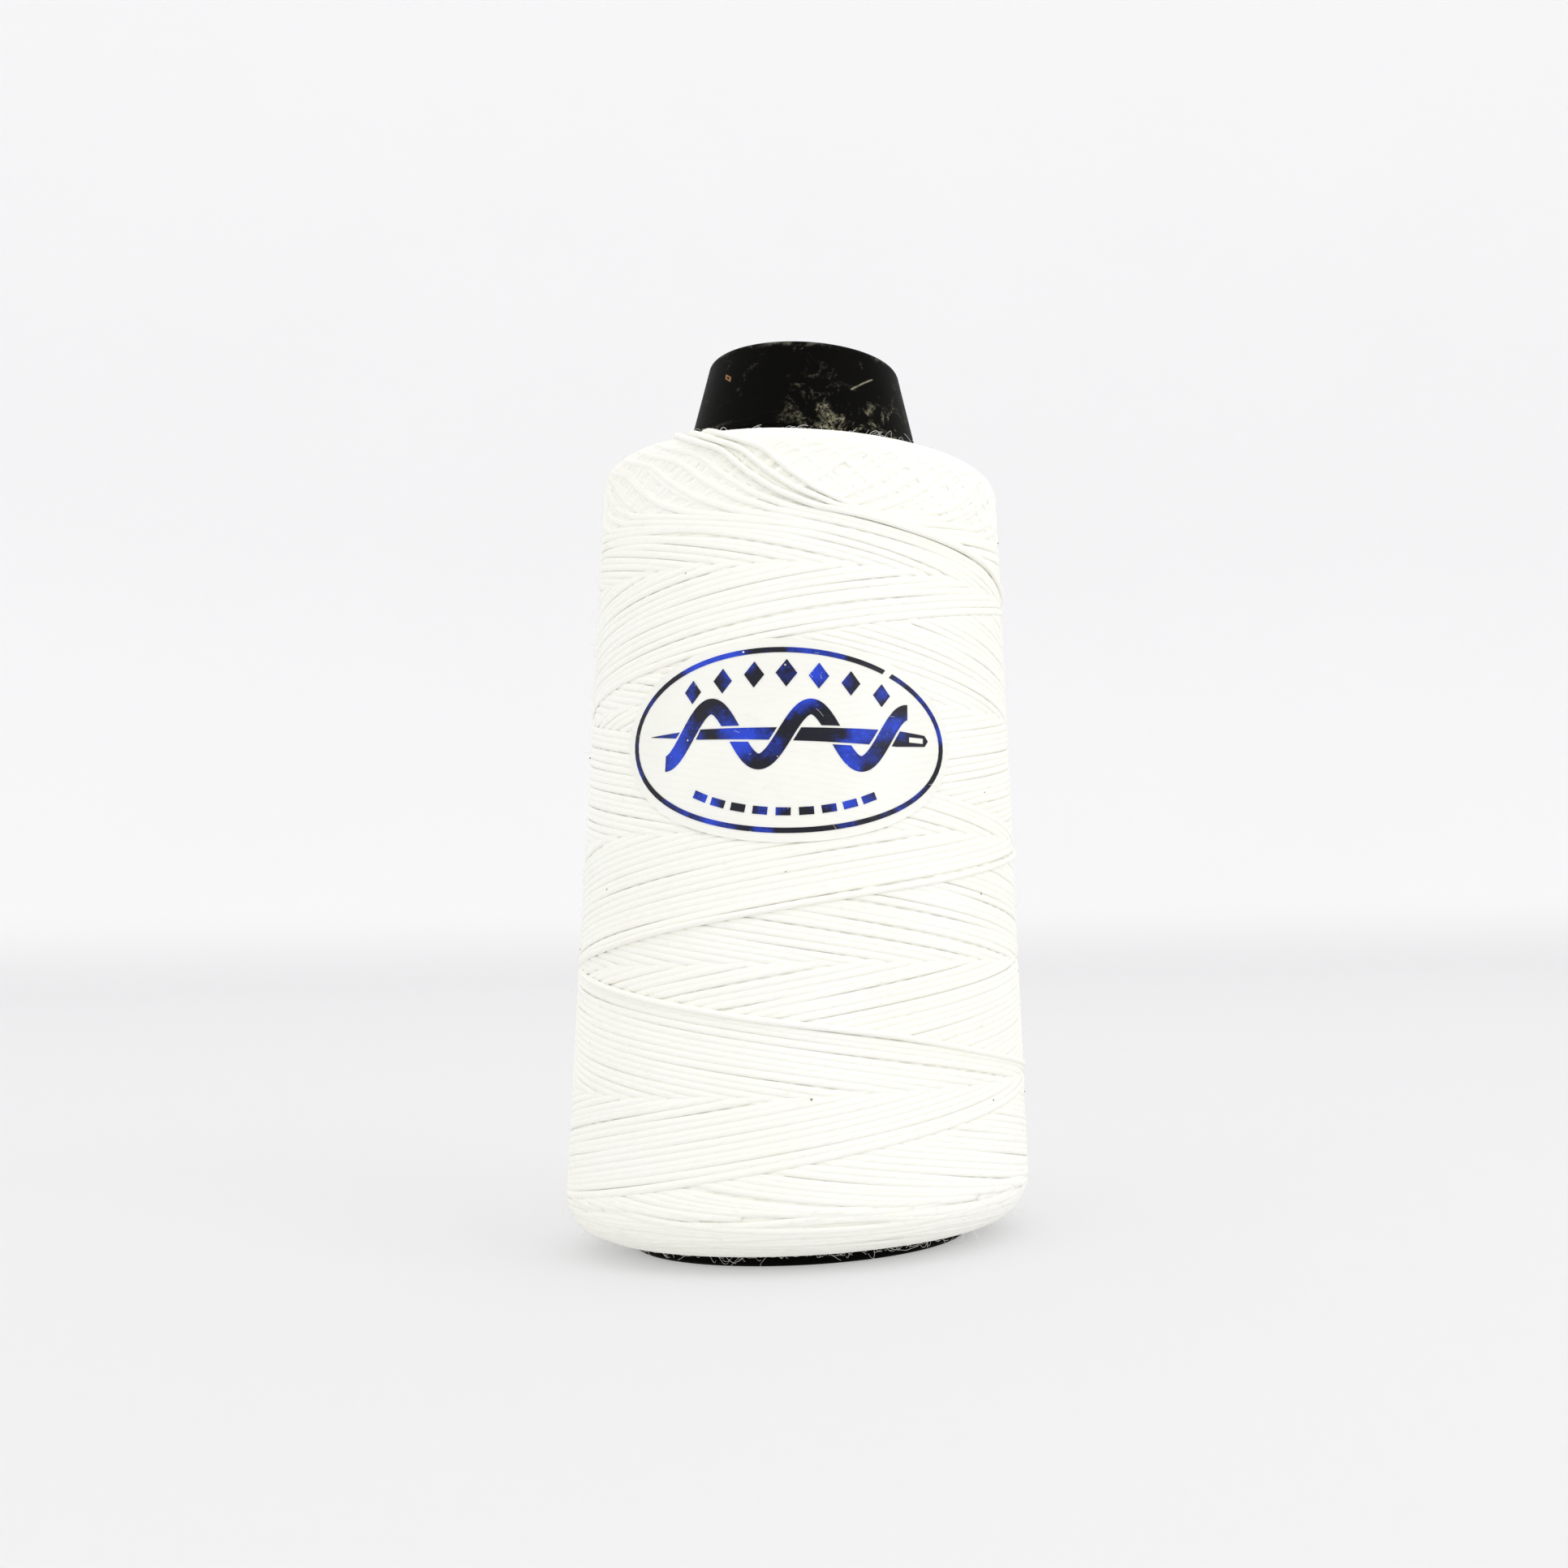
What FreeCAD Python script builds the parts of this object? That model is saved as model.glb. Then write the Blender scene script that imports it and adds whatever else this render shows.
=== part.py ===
"""Cone of quilting thread: moulded tube, cross-wound thread and an oval film label.

The tube stands on its base rim: the origin is the centre of the rim, +Z runs up the
tube's axis to the nose, and the label faces -Y.  All sizes are millimetres.
"""
import FreeCAD, Part
import math
import os
import re
import Sketcher

SIZES = (
    ("tube_height", 115.0, "base rim to the top of the nose"),
    ("rim_radius", 21.1, "outside of the base rim"),
    ("rim_height", 1.2, "rim left bare below the thread"),
    ("rim_step", 0.5, "step in from the rim to the tube's body"),
    ("rim_chamfer", 0.3, "chamfer on the rim's outer edges"),
    ("wall", 1.9, "wall of the tube"),
    ("nose_sunk", 3.4, "how far below the thread's end face the steeper nose starts"),
    ("nose_radius", 17.1, "outside radius where the nose starts"),
    ("nose_top_radius", 12.6, "outside radius of the nose at its top, before rounding"),
    ("nose_rounding", 0.8, "rounding of the nose's top edge"),
    ("dish_depth", 0.35, "shallow dish round the spindle hole"),
    ("dish_radius", 8.0, "outside radius of that dish"),
    ("spindle_hole", 3.3, "radius of the hole for a spindle pin"),
    ("groove_rise", 1.5, "first moulded groove above the thread's end face"),
    ("groove_pitch", 1.5, "from one moulded groove to the next"),
    ("groove_width", 0.5, "width of a moulded groove"),
    ("groove_depth", 0.2, "depth of a moulded groove"),
    ("package_top", 99.4, "height of the thread's upper end face"),
    ("flank_radius", 29.52, "thread's flank, carried down to the height of the base"),
    ("flank_taper", 0.0357, "how much the flank's radius falls for each unit of height"),
    ("foot_corner", 2.4, "height where the flank meets the lower end face, before rounding"),
    ("foot_rounding", 5.6, "rounding of the thread's lower edge"),
    ("shoulder_rounding", 2.4, "rounding of the thread's upper edge"),
    ("strand_radius", 0.38, "radius of a strand that stands proud"),
    ("strand_gap", 0.02, "clearance between a proud strand and the flank"),
    ("wind_pitch", 31.0, "height gained by the thread in one turn"),
    ("strand_fork", 35.4, "height where the two middle strands part at the left"),
    ("label_height", 60.9, "height of the label's centre"),
    ("label_half_width", 19.9, "half the printed border, measured round the thread"),
    ("label_half_height", 10.95, "half the printed border, measured upwards"),
    ("label_tilt", 1.0, "angle by which the label's right end sits low"),
    ("film_margin", 1.1, "film outside the printed border"),
    ("film_thickness", 0.12, "thickness of the label's film"),
    ("foil_thickness", 0.08, "thickness of the printed foil"),
    ("border_width", 0.62, "width of the printed border"),
)

doc = FreeCAD.newDocument("thread_cone")
sheet = doc.addObject("Spreadsheet::Sheet", "sizes")
for row, (alias, value, note) in enumerate(SIZES, start=1):
    sheet.set("A%d" % row, note)
    sheet.set("B%d" % row, str(value))
    sheet.setAlias("B%d" % row, alias)
doc.recompute()


def bound(text):
    """An expression that names sizes, with each name pointing at the sheet."""
    return re.sub(r"[a-z_]+", lambda word: "sizes." + word.group(), text)


def size(text):
    """The value of such an expression, in millimetres."""
    return float(sheet.evalExpression(bound(text)))


# ---- outlines shared by the pieces that touch --------------------------------------

BODY_FOOT = "rim_radius - rim_step"
NOSE_START = "(package_top - nose_sunk)"
NOSE_SLOPE = "(nose_radius - nose_top_radius) / (tube_height - %s)" % NOSE_START


def nose_at(height):
    """Expression for the nose's outside radius at a height."""
    return "nose_radius - %s * (%s - %s)" % (NOSE_SLOPE, height, NOSE_START)


def flank_at(height):
    """Expression for the thread's outside radius at a height on its flank."""
    return "flank_radius - flank_taper * (%s)" % height


# ---- helpers for bodies -------------------------------------------------------------

def origin_plane(body, role):
    """One of a body's own origin planes."""
    return next(item for item in body.Origin.OriginFeatures if item.Role == role)


def add_outline(sketch, corners):
    """Closed outline of straight edges whose corners are bound to sizes."""
    first = sketch.GeometryCount
    spots = [FreeCAD.Vector(size(across), size(up), 0) for across, up in corners]
    count = len(spots)
    for number in range(count):
        line = Part.LineSegment(spots[number], spots[(number + 1) % count])
        sketch.addGeometry(line, False)
    for number in range(count):
        this = first + number
        after = first + (number + 1) % count
        sketch.addConstraint(Sketcher.Constraint("Coincident", this, 2, after, 1))
    for number, (across, up) in enumerate(corners):
        for kind, text in (("DistanceX", across), ("DistanceY", up)):
            if text == "0":
                axis = -2 if kind == "DistanceX" else -1
                sketch.addConstraint(Sketcher.Constraint("PointOnObject", first + number, 1, axis))
                continue
            rule = Sketcher.Constraint(kind, -1, 1, first + number, 1, size(text))
            index = sketch.addConstraint(rule)
            sketch.setExpression("Constraints[%d]" % index, bound(text))


def new_sketch(body, name):
    """A sketch on the body's XZ plane: across is the radius, up is the height."""
    sketch = body.newObject("Sketcher::SketchObject", name)
    sketch.AttachmentSupport = (origin_plane(body, "XZ_Plane"), "")
    sketch.MapMode = "FlatFace"
    return sketch


def turned(body, kind, name, sketch):
    """A full turn of a sketch about the body's axis, as a Revolution or a Groove."""
    feature = body.newObject("PartDesign::" + kind, name)
    feature.Profile = sketch
    feature.ReferenceAxis = (sketch, ["V_Axis"])
    feature.Angle = 360
    sketch.Visibility = False
    doc.recompute()
    return feature


def ring_edge(feature, radius, height):
    """Name of the circular edge of a feature at a radius and a height."""
    for number, edge in enumerate(feature.Shape.Edges, start=1):
        curve = edge.Curve
        if not isinstance(curve, Part.Circle):
            continue
        if abs(curve.Radius - radius) < 1e-4 and abs(curve.Center.z - height) < 1e-4:
            return "Edge%d" % number
    raise ValueError("no circular edge at radius %.3f, height %.3f" % (radius, height))


def round_edge(body, name, base, radius, height, rounding):
    """Fillet of one circular edge, its radius bound to a named size."""
    fillet = body.newObject("PartDesign::Fillet", name)
    fillet.Base = (base, [ring_edge(base, size(radius), size(height))])
    fillet.setExpression("Radius", bound(rounding))
    doc.recompute()
    return fillet


# ---- tube ---------------------------------------------------------------------------

def make_tube():
    """Hollow moulded tube: base rim, tapered body, steeper nose with a spindle hole."""
    body = doc.addObject("PartDesign::Body", "cone_tube")
    ceiling = "tube_height - dish_depth - wall"
    outline = (
        ("rim_radius - wall", "0"),
        ("rim_radius - rim_chamfer", "0"),
        ("rim_radius", "rim_chamfer"),
        ("rim_radius", "rim_height - rim_chamfer"),
        ("rim_radius - rim_chamfer", "rim_height"),
        (BODY_FOOT, "rim_height"),
        ("nose_radius", NOSE_START),
        ("nose_top_radius", "tube_height"),
        ("dish_radius", "tube_height"),
        ("dish_radius", "tube_height - dish_depth"),
        ("spindle_hole", "tube_height - dish_depth"),
        ("spindle_hole", ceiling),
        (nose_at(ceiling) + " - wall", ceiling),
        ("nose_radius - wall", NOSE_START),
    )
    sketch = new_sketch(body, "tube_outline")
    add_outline(sketch, outline)
    shell = turned(body, "Revolution", "tube_shell", sketch)
    rounded = round_edge(body, "nose_edge", shell, "nose_top_radius", "tube_height", "nose_rounding")
    whole = rounded.Shape.Volume
    grooves = new_sketch(body, "groove_outline")
    for number in range(2):
        low = "package_top + groove_rise + %d * groove_pitch" % number
        high = low + " + groove_width"
        outer = nose_at(low) + " + groove_width"
        inner = nose_at(low) + " - groove_depth"
        add_outline(grooves, ((inner, low), (outer, low), (outer, high), (inner, high)))
    turned(body, "Groove", "nose_grooves", grooves)
    if not body.Shape.Volume < whole:
        raise ValueError("the moulded grooves cut nothing")
    return body


# ---- thread -------------------------------------------------------------------------

FORK_ANGLE = -167.0
TOP_ANGLE = -100.0
LOW_TURNS = 0.72
MIDDLE_TURNS = 0.62
TOP_TURNS = 0.47
TOP_DROP = 1.5


def make_package():
    """Wound thread as one closed ring that fills the space round the tube."""
    body = doc.addObject("PartDesign::Body", "thread_package")
    outline = (
        (BODY_FOOT, "rim_height"),
        (flank_at("foot_corner"), "foot_corner"),
        (flank_at("package_top"), "package_top"),
        (nose_at("package_top"), "package_top"),
        ("nose_radius", NOSE_START),
    )
    sketch = new_sketch(body, "package_outline")
    add_outline(sketch, outline)
    ring = turned(body, "Revolution", "package_ring", sketch)
    foot = round_edge(body, "foot_edge", ring, flank_at("foot_corner"), "foot_corner", "foot_rounding")
    round_edge(body, "shoulder_edge", foot, flank_at("package_top"), "package_top", "shoulder_rounding")
    return body


def make_strand(name, start_angle, low, turns, rising):
    """A proud strand that climbs the flank from a height, right- or left-handed.

    It lies on the flank over a number of turns from its lower end, which is at the
    given angle about the axis, counted from +X.
    """
    seat = flank_at(low) + " + strand_radius + strand_gap"
    coil = doc.addObject("Part::Helix", name + "_path")
    coil.setExpression("Pitch", bound("wind_pitch"))
    coil.setExpression("Height", bound("wind_pitch * %s" % turns))
    coil.setExpression("Radius", bound(seat))
    coil.setExpression("Angle", "-atan(" + bound("flank_taper") + ")")
    coil.LocalCoord = "Right-handed" if rising else "Left-handed"
    lead = math.degrees(math.atan2(size("wind_pitch"), 2 * math.pi * size(seat)))
    turn = 90 - lead if rising else 90 + lead
    section = doc.addObject("Part::Circle", name + "_section")
    section.setExpression("Radius", bound("strand_radius"))
    section.Placement = FreeCAD.Placement(
        FreeCAD.Vector(size(seat), 0, 0), FreeCAD.Rotation(FreeCAD.Vector(1, 0, 0), -turn))
    section.setExpression("Placement.Base.x", bound(seat))
    strand = doc.addObject("Part::Sweep", name)
    strand.Sections = [section]
    strand.Spine = (coil, [])
    strand.Solid = True
    strand.Frenet = True
    strand.Placement = FreeCAD.Placement(
        FreeCAD.Vector(0, 0, size(low)), FreeCAD.Rotation(FreeCAD.Vector(0, 0, 1), start_angle))
    strand.setExpression("Placement.Base.z", bound(low))
    return strand


# ---- label --------------------------------------------------------------------------

LABEL_RADIUS = size(flank_at("label_height"))
FRONT = FreeCAD.Vector(0, -1, 0)
OVAL_STEPS = 48

CHIP_CENTRE = (0.655, 0.755)
CHIP_SIZE = (0.9, 2.0)
CHIP_ANGLE = 60.0

DIAMOND_STEPS = range(-3, 4)
DIAMOND_SPACING = 0.19
DIAMOND_RISE = 0.72
DIAMOND_SAG = 0.022
DIAMOND_HALF = 0.115
DIAMOND_SHRINK = 0.05
DIAMOND_STRETCH = 1.3

STITCH_STEPS = range(-4, 5)
STITCH_ANGLE = 9.5
STITCH_ARC = (0.8, 0.77)
STITCH_SIZE = (0.085, 0.085)

MOTIF_MIDDLE = 0.06
WAVE_SWING = 0.3
WAVE_STROKE = 0.17
WAVE_REACH = 0.74
WAVES = 2.5
WAVE_STEPS = 40
CROSSINGS = range(-2, 3)
WINDOW_WIDTH = 0.75
WINDOW_HEIGHT = 1.4
RELIEF = 0.025

NEEDLE_LENGTH = 0.86
NEEDLE_HALF = 0.088
NEEDLE_NECK = (0.6, 0.62)
NEEDLE_HEAD = 0.78
NEEDLE_BUTT = (0.7, 0.5)
EYE_CENTRE = 0.8
EYE_SIZE = (0.1, 0.06)


def wrapped(across, up):
    """Point in the XZ plane where a point of the flat label lands, seen from the front."""
    tilt = math.radians(size("label_tilt"))
    round_it = across * math.cos(tilt) + up * math.sin(tilt)
    rise = up * math.cos(tilt) - across * math.sin(tilt)
    return FreeCAD.Vector(LABEL_RADIUS * math.sin(round_it / LABEL_RADIUS), 0,
                          size("label_height") + rise)


def smooth_wire(points):
    """Closed smooth outline through points of the flat label."""
    curve = Part.BSplineCurve()
    curve.interpolate([wrapped(*point) for point in points], PeriodicFlag=True)
    return Part.Wire(curve.toShape())


def straight_wire(points):
    """Closed outline of straight edges through points of the flat label."""
    spots = [wrapped(*point) for point in points]
    return Part.makePolygon(spots + spots[:1])


def ribbon_wire(above, below):
    """Outline of a ribbon: a smooth edge above, one below, and two straight ends."""
    sides = []
    for points in (above, below):
        curve = Part.BSplineCurve()
        curve.interpolate([wrapped(*point) for point in points])
        sides.append(curve.toShape())
    ends = [Part.LineSegment(wrapped(*above[end]), wrapped(*below[end])).toShape() for end in (0, -1)]
    return Part.Wire(Part.__sortEdges__(sides + ends))


def oval(half_width, half_height):
    """Points of an ellipse about the label's centre."""
    angles = [2 * math.pi * step / OVAL_STEPS for step in range(OVAL_STEPS)]
    return [(half_width * math.cos(angle), half_height * math.sin(angle)) for angle in angles]


def prism(wire):
    """A flat outline driven forwards through the flank."""
    depth = 2 * LABEL_RADIUS
    return Part.Face(wire).extrude(FRONT * depth)


def flank_skin(lift, thickness):
    """Thin conical skin that lies a lift above the flank, as tall as the label is wide."""
    low = size("label_height - label_half_width")
    high = size("label_height + label_half_width")
    at = FreeCAD.Vector(0, 0, low)
    cones = []
    for extra in (lift + thickness, lift):
        near = size(flank_at("%.6f" % low)) + extra
        far = size(flank_at("%.6f" % high)) + extra
        cones.append(Part.makeCone(near, far, high - low, at))
    return cones[0].cut(cones[1])


def label_piece(name, solids, lift, thickness):
    """One node of the label: its prisms, cut down to a skin on the flank."""
    skin = flank_skin(lift, thickness)
    pieces = [solid.common(skin) for solid in solids]
    shape = pieces[0] if len(pieces) == 1 else Part.makeCompound(
        [part for piece in pieces for part in piece.Solids])
    node = doc.addObject("Part::Feature", name)
    node.Shape = shape
    node.Placement = FreeCAD.Placement()
    return node


def dash(centre, length, width, angle=0.0):
    """A rectangle of the flat label, turned about its centre by an angle in degrees."""
    turn = math.radians(angle)
    corners = ((-1, -1), (1, -1), (1, 1), (-1, 1))
    points = []
    for side, end in corners:
        along = side * length / 2
        over = end * width / 2
        points.append((centre[0] + along * math.cos(turn) - over * math.sin(turn),
                       centre[1] + along * math.sin(turn) + over * math.cos(turn)))
    return prism(straight_wire(points))


def make_border(wide, tall):
    """The printed ring, chipped at its upper right."""
    line = size("border_width")
    ring = prism(smooth_wire(oval(wide, tall))).cut(prism(smooth_wire(oval(wide - line, tall - line))))
    chip_at = (CHIP_CENTRE[0] * wide, CHIP_CENTRE[1] * tall)
    return ring.cut(dash(chip_at, CHIP_SIZE[0], CHIP_SIZE[1], CHIP_ANGLE))


def make_diamonds(wide, tall):
    """A bow of diamonds under the ring's upper edge."""
    diamonds = []
    for step in DIAMOND_STEPS:
        across = DIAMOND_SPACING * wide * step
        up = tall * (DIAMOND_RISE - DIAMOND_SAG * step * step)
        half = DIAMOND_HALF * tall * (1 - DIAMOND_SHRINK * abs(step))
        high = DIAMOND_STRETCH * half
        points = [(across + half, up), (across, up + high), (across - half, up), (across, up - high)]
        diamonds.append(prism(straight_wire(points)))
    return diamonds


def make_stitches(wide, tall):
    """A bow of dashes over the ring's lower edge, each along the bow."""
    arc_wide = STITCH_ARC[0] * wide
    arc_tall = STITCH_ARC[1] * tall
    stitches = []
    for step in STITCH_STEPS:
        angle = math.radians(STITCH_ANGLE * step)
        centre = (arc_wide * math.sin(angle), -arc_tall * math.cos(angle))
        lean = math.degrees(math.atan2(arc_tall * math.sin(angle), arc_wide * math.cos(angle)))
        stitches.append(dash(centre, STITCH_SIZE[0] * wide, STITCH_SIZE[1] * tall, lean))
    return stitches


def wave_ribbon(wide, tall, width):
    """The wave of thread, as a ribbon of a width."""
    swing = WAVE_SWING * tall
    reach = WAVE_REACH * wide
    middle = MOTIF_MIDDLE * tall
    above = []
    below = []
    for step in range(WAVE_STEPS + 1):
        across = reach * (2 * step / WAVE_STEPS - 1)
        phase = math.pi * WAVES * across / reach
        slope = swing * math.cos(phase) * math.pi * WAVES / reach
        grow = width / 2 / math.hypot(1, slope)
        height = middle + swing * math.sin(phase)
        above.append((across - grow * slope, height + grow))
        below.append((across + grow * slope, height - grow))
    return prism(ribbon_wire(above, below))


def needle_blade(wide, tall, extra):
    """The needle without its eye, grown by an extra all round."""
    half = NEEDLE_HALF * tall + extra
    length = NEEDLE_LENGTH * wide
    middle = MOTIF_MIDDLE * tall
    upper = [(-length * NEEDLE_NECK[0], half * NEEDLE_NECK[1]), (length * NEEDLE_HEAD, half),
             (length, half * NEEDLE_BUTT[0])]
    points = [(-length - extra, middle)]
    points += [(across, middle + up) for across, up in upper]
    points.append((length + half * NEEDLE_BUTT[1], middle))
    points += [(across, middle - up) for across, up in reversed(upper)]
    return prism(straight_wire(points))


def make_motif(wide, tall):
    """A needle with a wave of thread that passes over and under it by turns."""
    middle = MOTIF_MIDDLE * tall
    stroke = WAVE_STROKE * tall
    relief = RELIEF * tall
    eye = dash((EYE_CENTRE * wide, middle), EYE_SIZE[0] * wide, EYE_SIZE[1] * tall)
    needle = needle_blade(wide, tall, 0.0).cut(eye)
    wave = wave_ribbon(wide, tall, stroke)
    over = wave_ribbon(wide, tall, stroke + 2 * relief)
    under = needle_blade(wide, tall, relief)
    between = WAVE_REACH * wide / WAVES
    for crossing in CROSSINGS:
        centre = (between * crossing, middle)
        window = dash(centre, WINDOW_WIDTH * between, WINDOW_HEIGHT * WAVE_SWING * tall)
        if crossing % 2 == 0:
            needle = needle.cut(over.common(window))
        else:
            wave = wave.cut(under.common(window))
    return needle, wave


def make_label():
    """Film, printed ring and printed sewing motif, each a thin piece of its own."""
    wide = size("label_half_width")
    tall = size("label_half_height")
    margin = size("film_margin")
    film = size("film_thickness")
    foil = size("foil_thickness")
    film_prism = prism(smooth_wire(oval(wide + margin, tall + margin)))
    needle, wave = make_motif(wide, tall)
    return [
        label_piece("label_film", [film_prism], 0.0, film),
        label_piece("label_border", [make_border(wide, tall)], film, foil),
        label_piece("label_needle", [needle], film, foil),
        label_piece("label_wave", [wave], film, foil),
        label_piece("label_diamonds", make_diamonds(wide, tall), film, foil),
        label_piece("label_stitches", make_stitches(wide, tall), film, foil),
    ]


# ---- assemble, check and write ------------------------------------------------------

pieces = [
    make_tube(),
    make_package(),
    make_strand("strand_low", FORK_ANGLE + 360 * LOW_TURNS, "strand_fork - %s * wind_pitch" % LOW_TURNS,
                LOW_TURNS, False),
    make_strand("strand_middle", FORK_ANGLE, "strand_fork", MIDDLE_TURNS, True),
    make_strand("strand_top", TOP_ANGLE + 360 * TOP_TURNS,
                "package_top - shoulder_rounding - %s - %s * wind_pitch" % (TOP_DROP, TOP_TURNS),
                TOP_TURNS, False),
]
pieces += make_label()
doc.recompute()

for item in doc.Objects:
    if "Invalid" in item.State or "Error" in item.State:
        raise RuntimeError("%s did not compute: %s" % (item.Name, item.State))
for piece in pieces:
    if piece.Shape.isNull() or not piece.Shape.isValid():
        raise RuntimeError("%s has no valid shape" % piece.Label)

os.makedirs("parts", exist_ok=True)
for piece in pieces:
    piece.Shape.exportStep("parts/%s.step" % piece.Label)
    box = piece.Shape.BoundBox
    print("%-16s solids %2d  volume %10.2f  z %7.2f to %7.2f  x %7.2f to %7.2f" % (
        piece.Label, len(piece.Shape.Solids), piece.Shape.Volume,
        box.ZMin, box.ZMax, box.XMin, box.XMax))
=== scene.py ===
import math

import bmesh
import bpy
import numpy as np
from mathutils import Matrix, Vector


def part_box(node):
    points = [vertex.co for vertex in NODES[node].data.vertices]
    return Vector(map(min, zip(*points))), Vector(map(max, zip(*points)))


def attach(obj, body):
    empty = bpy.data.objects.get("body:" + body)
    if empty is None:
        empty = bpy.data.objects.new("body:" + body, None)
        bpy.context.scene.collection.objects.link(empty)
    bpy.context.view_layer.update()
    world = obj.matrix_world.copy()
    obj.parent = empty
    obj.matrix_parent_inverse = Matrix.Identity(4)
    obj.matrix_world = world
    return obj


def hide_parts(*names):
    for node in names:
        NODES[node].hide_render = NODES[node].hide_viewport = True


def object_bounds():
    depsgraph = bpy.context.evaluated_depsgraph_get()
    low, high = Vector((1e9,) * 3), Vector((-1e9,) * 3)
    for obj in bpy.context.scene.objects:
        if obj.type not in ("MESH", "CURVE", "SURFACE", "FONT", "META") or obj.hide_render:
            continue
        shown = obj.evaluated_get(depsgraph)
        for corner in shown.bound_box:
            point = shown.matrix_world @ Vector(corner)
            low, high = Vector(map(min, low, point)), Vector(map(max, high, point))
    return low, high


bl_info = {
    "name": "Cone of Quilting Thread",
    "version": (1, 0, 0),
    "blender": (4, 5, 0),
    "location": "3D View > Sidebar > Thread Cone",
    "description": "Winds the thread, prints the label and dresses the tube of a thread cone",
    "category": "Object",
}

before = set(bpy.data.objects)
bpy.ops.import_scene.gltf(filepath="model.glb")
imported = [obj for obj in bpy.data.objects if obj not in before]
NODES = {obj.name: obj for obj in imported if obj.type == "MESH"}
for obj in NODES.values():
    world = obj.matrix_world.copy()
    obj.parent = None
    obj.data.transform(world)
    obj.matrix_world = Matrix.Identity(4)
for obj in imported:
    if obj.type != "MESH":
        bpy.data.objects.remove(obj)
CAD_LOW, CAD_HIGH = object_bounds()
MM = 0.001
BODY = "root"
FRONT = -math.pi / 2


# ---- shapes read from the frame ----

def node_rings(node):
    """Radius and height of every vertex of a turned CAD node, as two arrays."""
    mesh = NODES[node].data
    places = np.empty(len(mesh.vertices) * 3)
    mesh.vertices.foreach_get("co", places)
    places = places.reshape(-1, 3)
    return np.hypot(places[:, 0], places[:, 1]), places[:, 2]


def outer_profile(node):
    """The convex outside of a turned CAD node, foot to top, as rows of radius and height."""
    radius, height = node_rings(node)
    rows = np.unique(np.round(np.stack([height, radius], 1), 6), axis=0)
    hull = []
    for row in rows:
        while len(hull) > 1:
            (z0, r0), (z1, r1) = hull[-2], hull[-1]
            if (z1 - z0) * (row[1] - r0) - (r1 - r0) * (row[0] - z0) < 0:
                break
            hull.pop()
        hull.append(tuple(row))
    top = rows[rows[:, 0] > rows[-1, 0] - 1e-6]
    hull.append((top[0, 0], top[0, 1]))
    profile = np.array(hull)[:, ::-1]
    keep = np.append(True, np.hypot(*np.diff(profile, axis=0).T) > 1e-7)
    return profile[keep]


class Meridian:
    """The thread's outside, followed from the foot, over the flank, to the tube's nose."""

    def __init__(self, node, fineness=0.25 * MM):
        corners = outer_profile(node)
        along = np.append(0, np.cumsum(np.hypot(*np.diff(corners, axis=0).T)))
        self.length = along[-1]
        self.steps = np.linspace(0, self.length, int(self.length / fineness))
        self.radius = np.interp(self.steps, along, corners[:, 0])
        self.height = np.interp(self.steps, along, corners[:, 1])
        lean_r = np.gradient(self.radius, self.steps)
        lean_z = np.gradient(self.height, self.steps)
        blur = np.ones(5) / 5
        self.out_r = np.convolve(np.pad(lean_z, 2, "edge"), blur, "valid")
        self.out_z = np.convolve(np.pad(-lean_r, 2, "edge"), blur, "valid")

    def at_height(self, height):
        """Distance along the outside where it reaches a height."""
        return np.interp(height, self.height, self.steps)

    def points(self, along, angle, lift):
        """Places and outward directions at a distance, an angle and a lift off the outside."""
        radius = np.interp(along, self.steps, self.radius)
        height = np.interp(along, self.steps, self.height)
        out_r = np.interp(along, self.steps, self.out_r)
        out_z = np.interp(along, self.steps, self.out_z)
        size = np.hypot(out_r, out_z)
        out_r, out_z = out_r / size, out_z / size
        ring = radius + lift * out_r
        place = np.stack([ring * np.cos(angle), ring * np.sin(angle), height + lift * out_z], -1)
        out = np.stack([out_r * np.cos(angle), out_r * np.sin(angle), out_z], -1)
        return place, out


PACKAGE = Meridian("thread_package")
LABEL_LOW, LABEL_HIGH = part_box("label_border")
FILM_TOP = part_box("label_film")[1][2]


# ---- settings ----

def length(name, description, default):
    """A length property in metres."""
    return bpy.props.FloatProperty(name=name, description=description, default=default, unit="LENGTH",
                                   precision=5)


def angle_of(name, description, degrees):
    """An angle property, its default given in degrees."""
    return bpy.props.FloatProperty(name=name, description=description, default=math.radians(degrees),
                                   subtype="ANGLE")


def share_of(name, description, default, low=0.0):
    """A property that runs up to one."""
    return bpy.props.FloatProperty(name=name, description=description, default=default, min=low,
                                   max=1.0, subtype="FACTOR")


def colour(name, description, default):
    """A colour property."""
    return bpy.props.FloatVectorProperty(name=name, description=description, default=default,
                                         size=3, min=0.0, max=1.0, subtype="COLOR")


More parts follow.
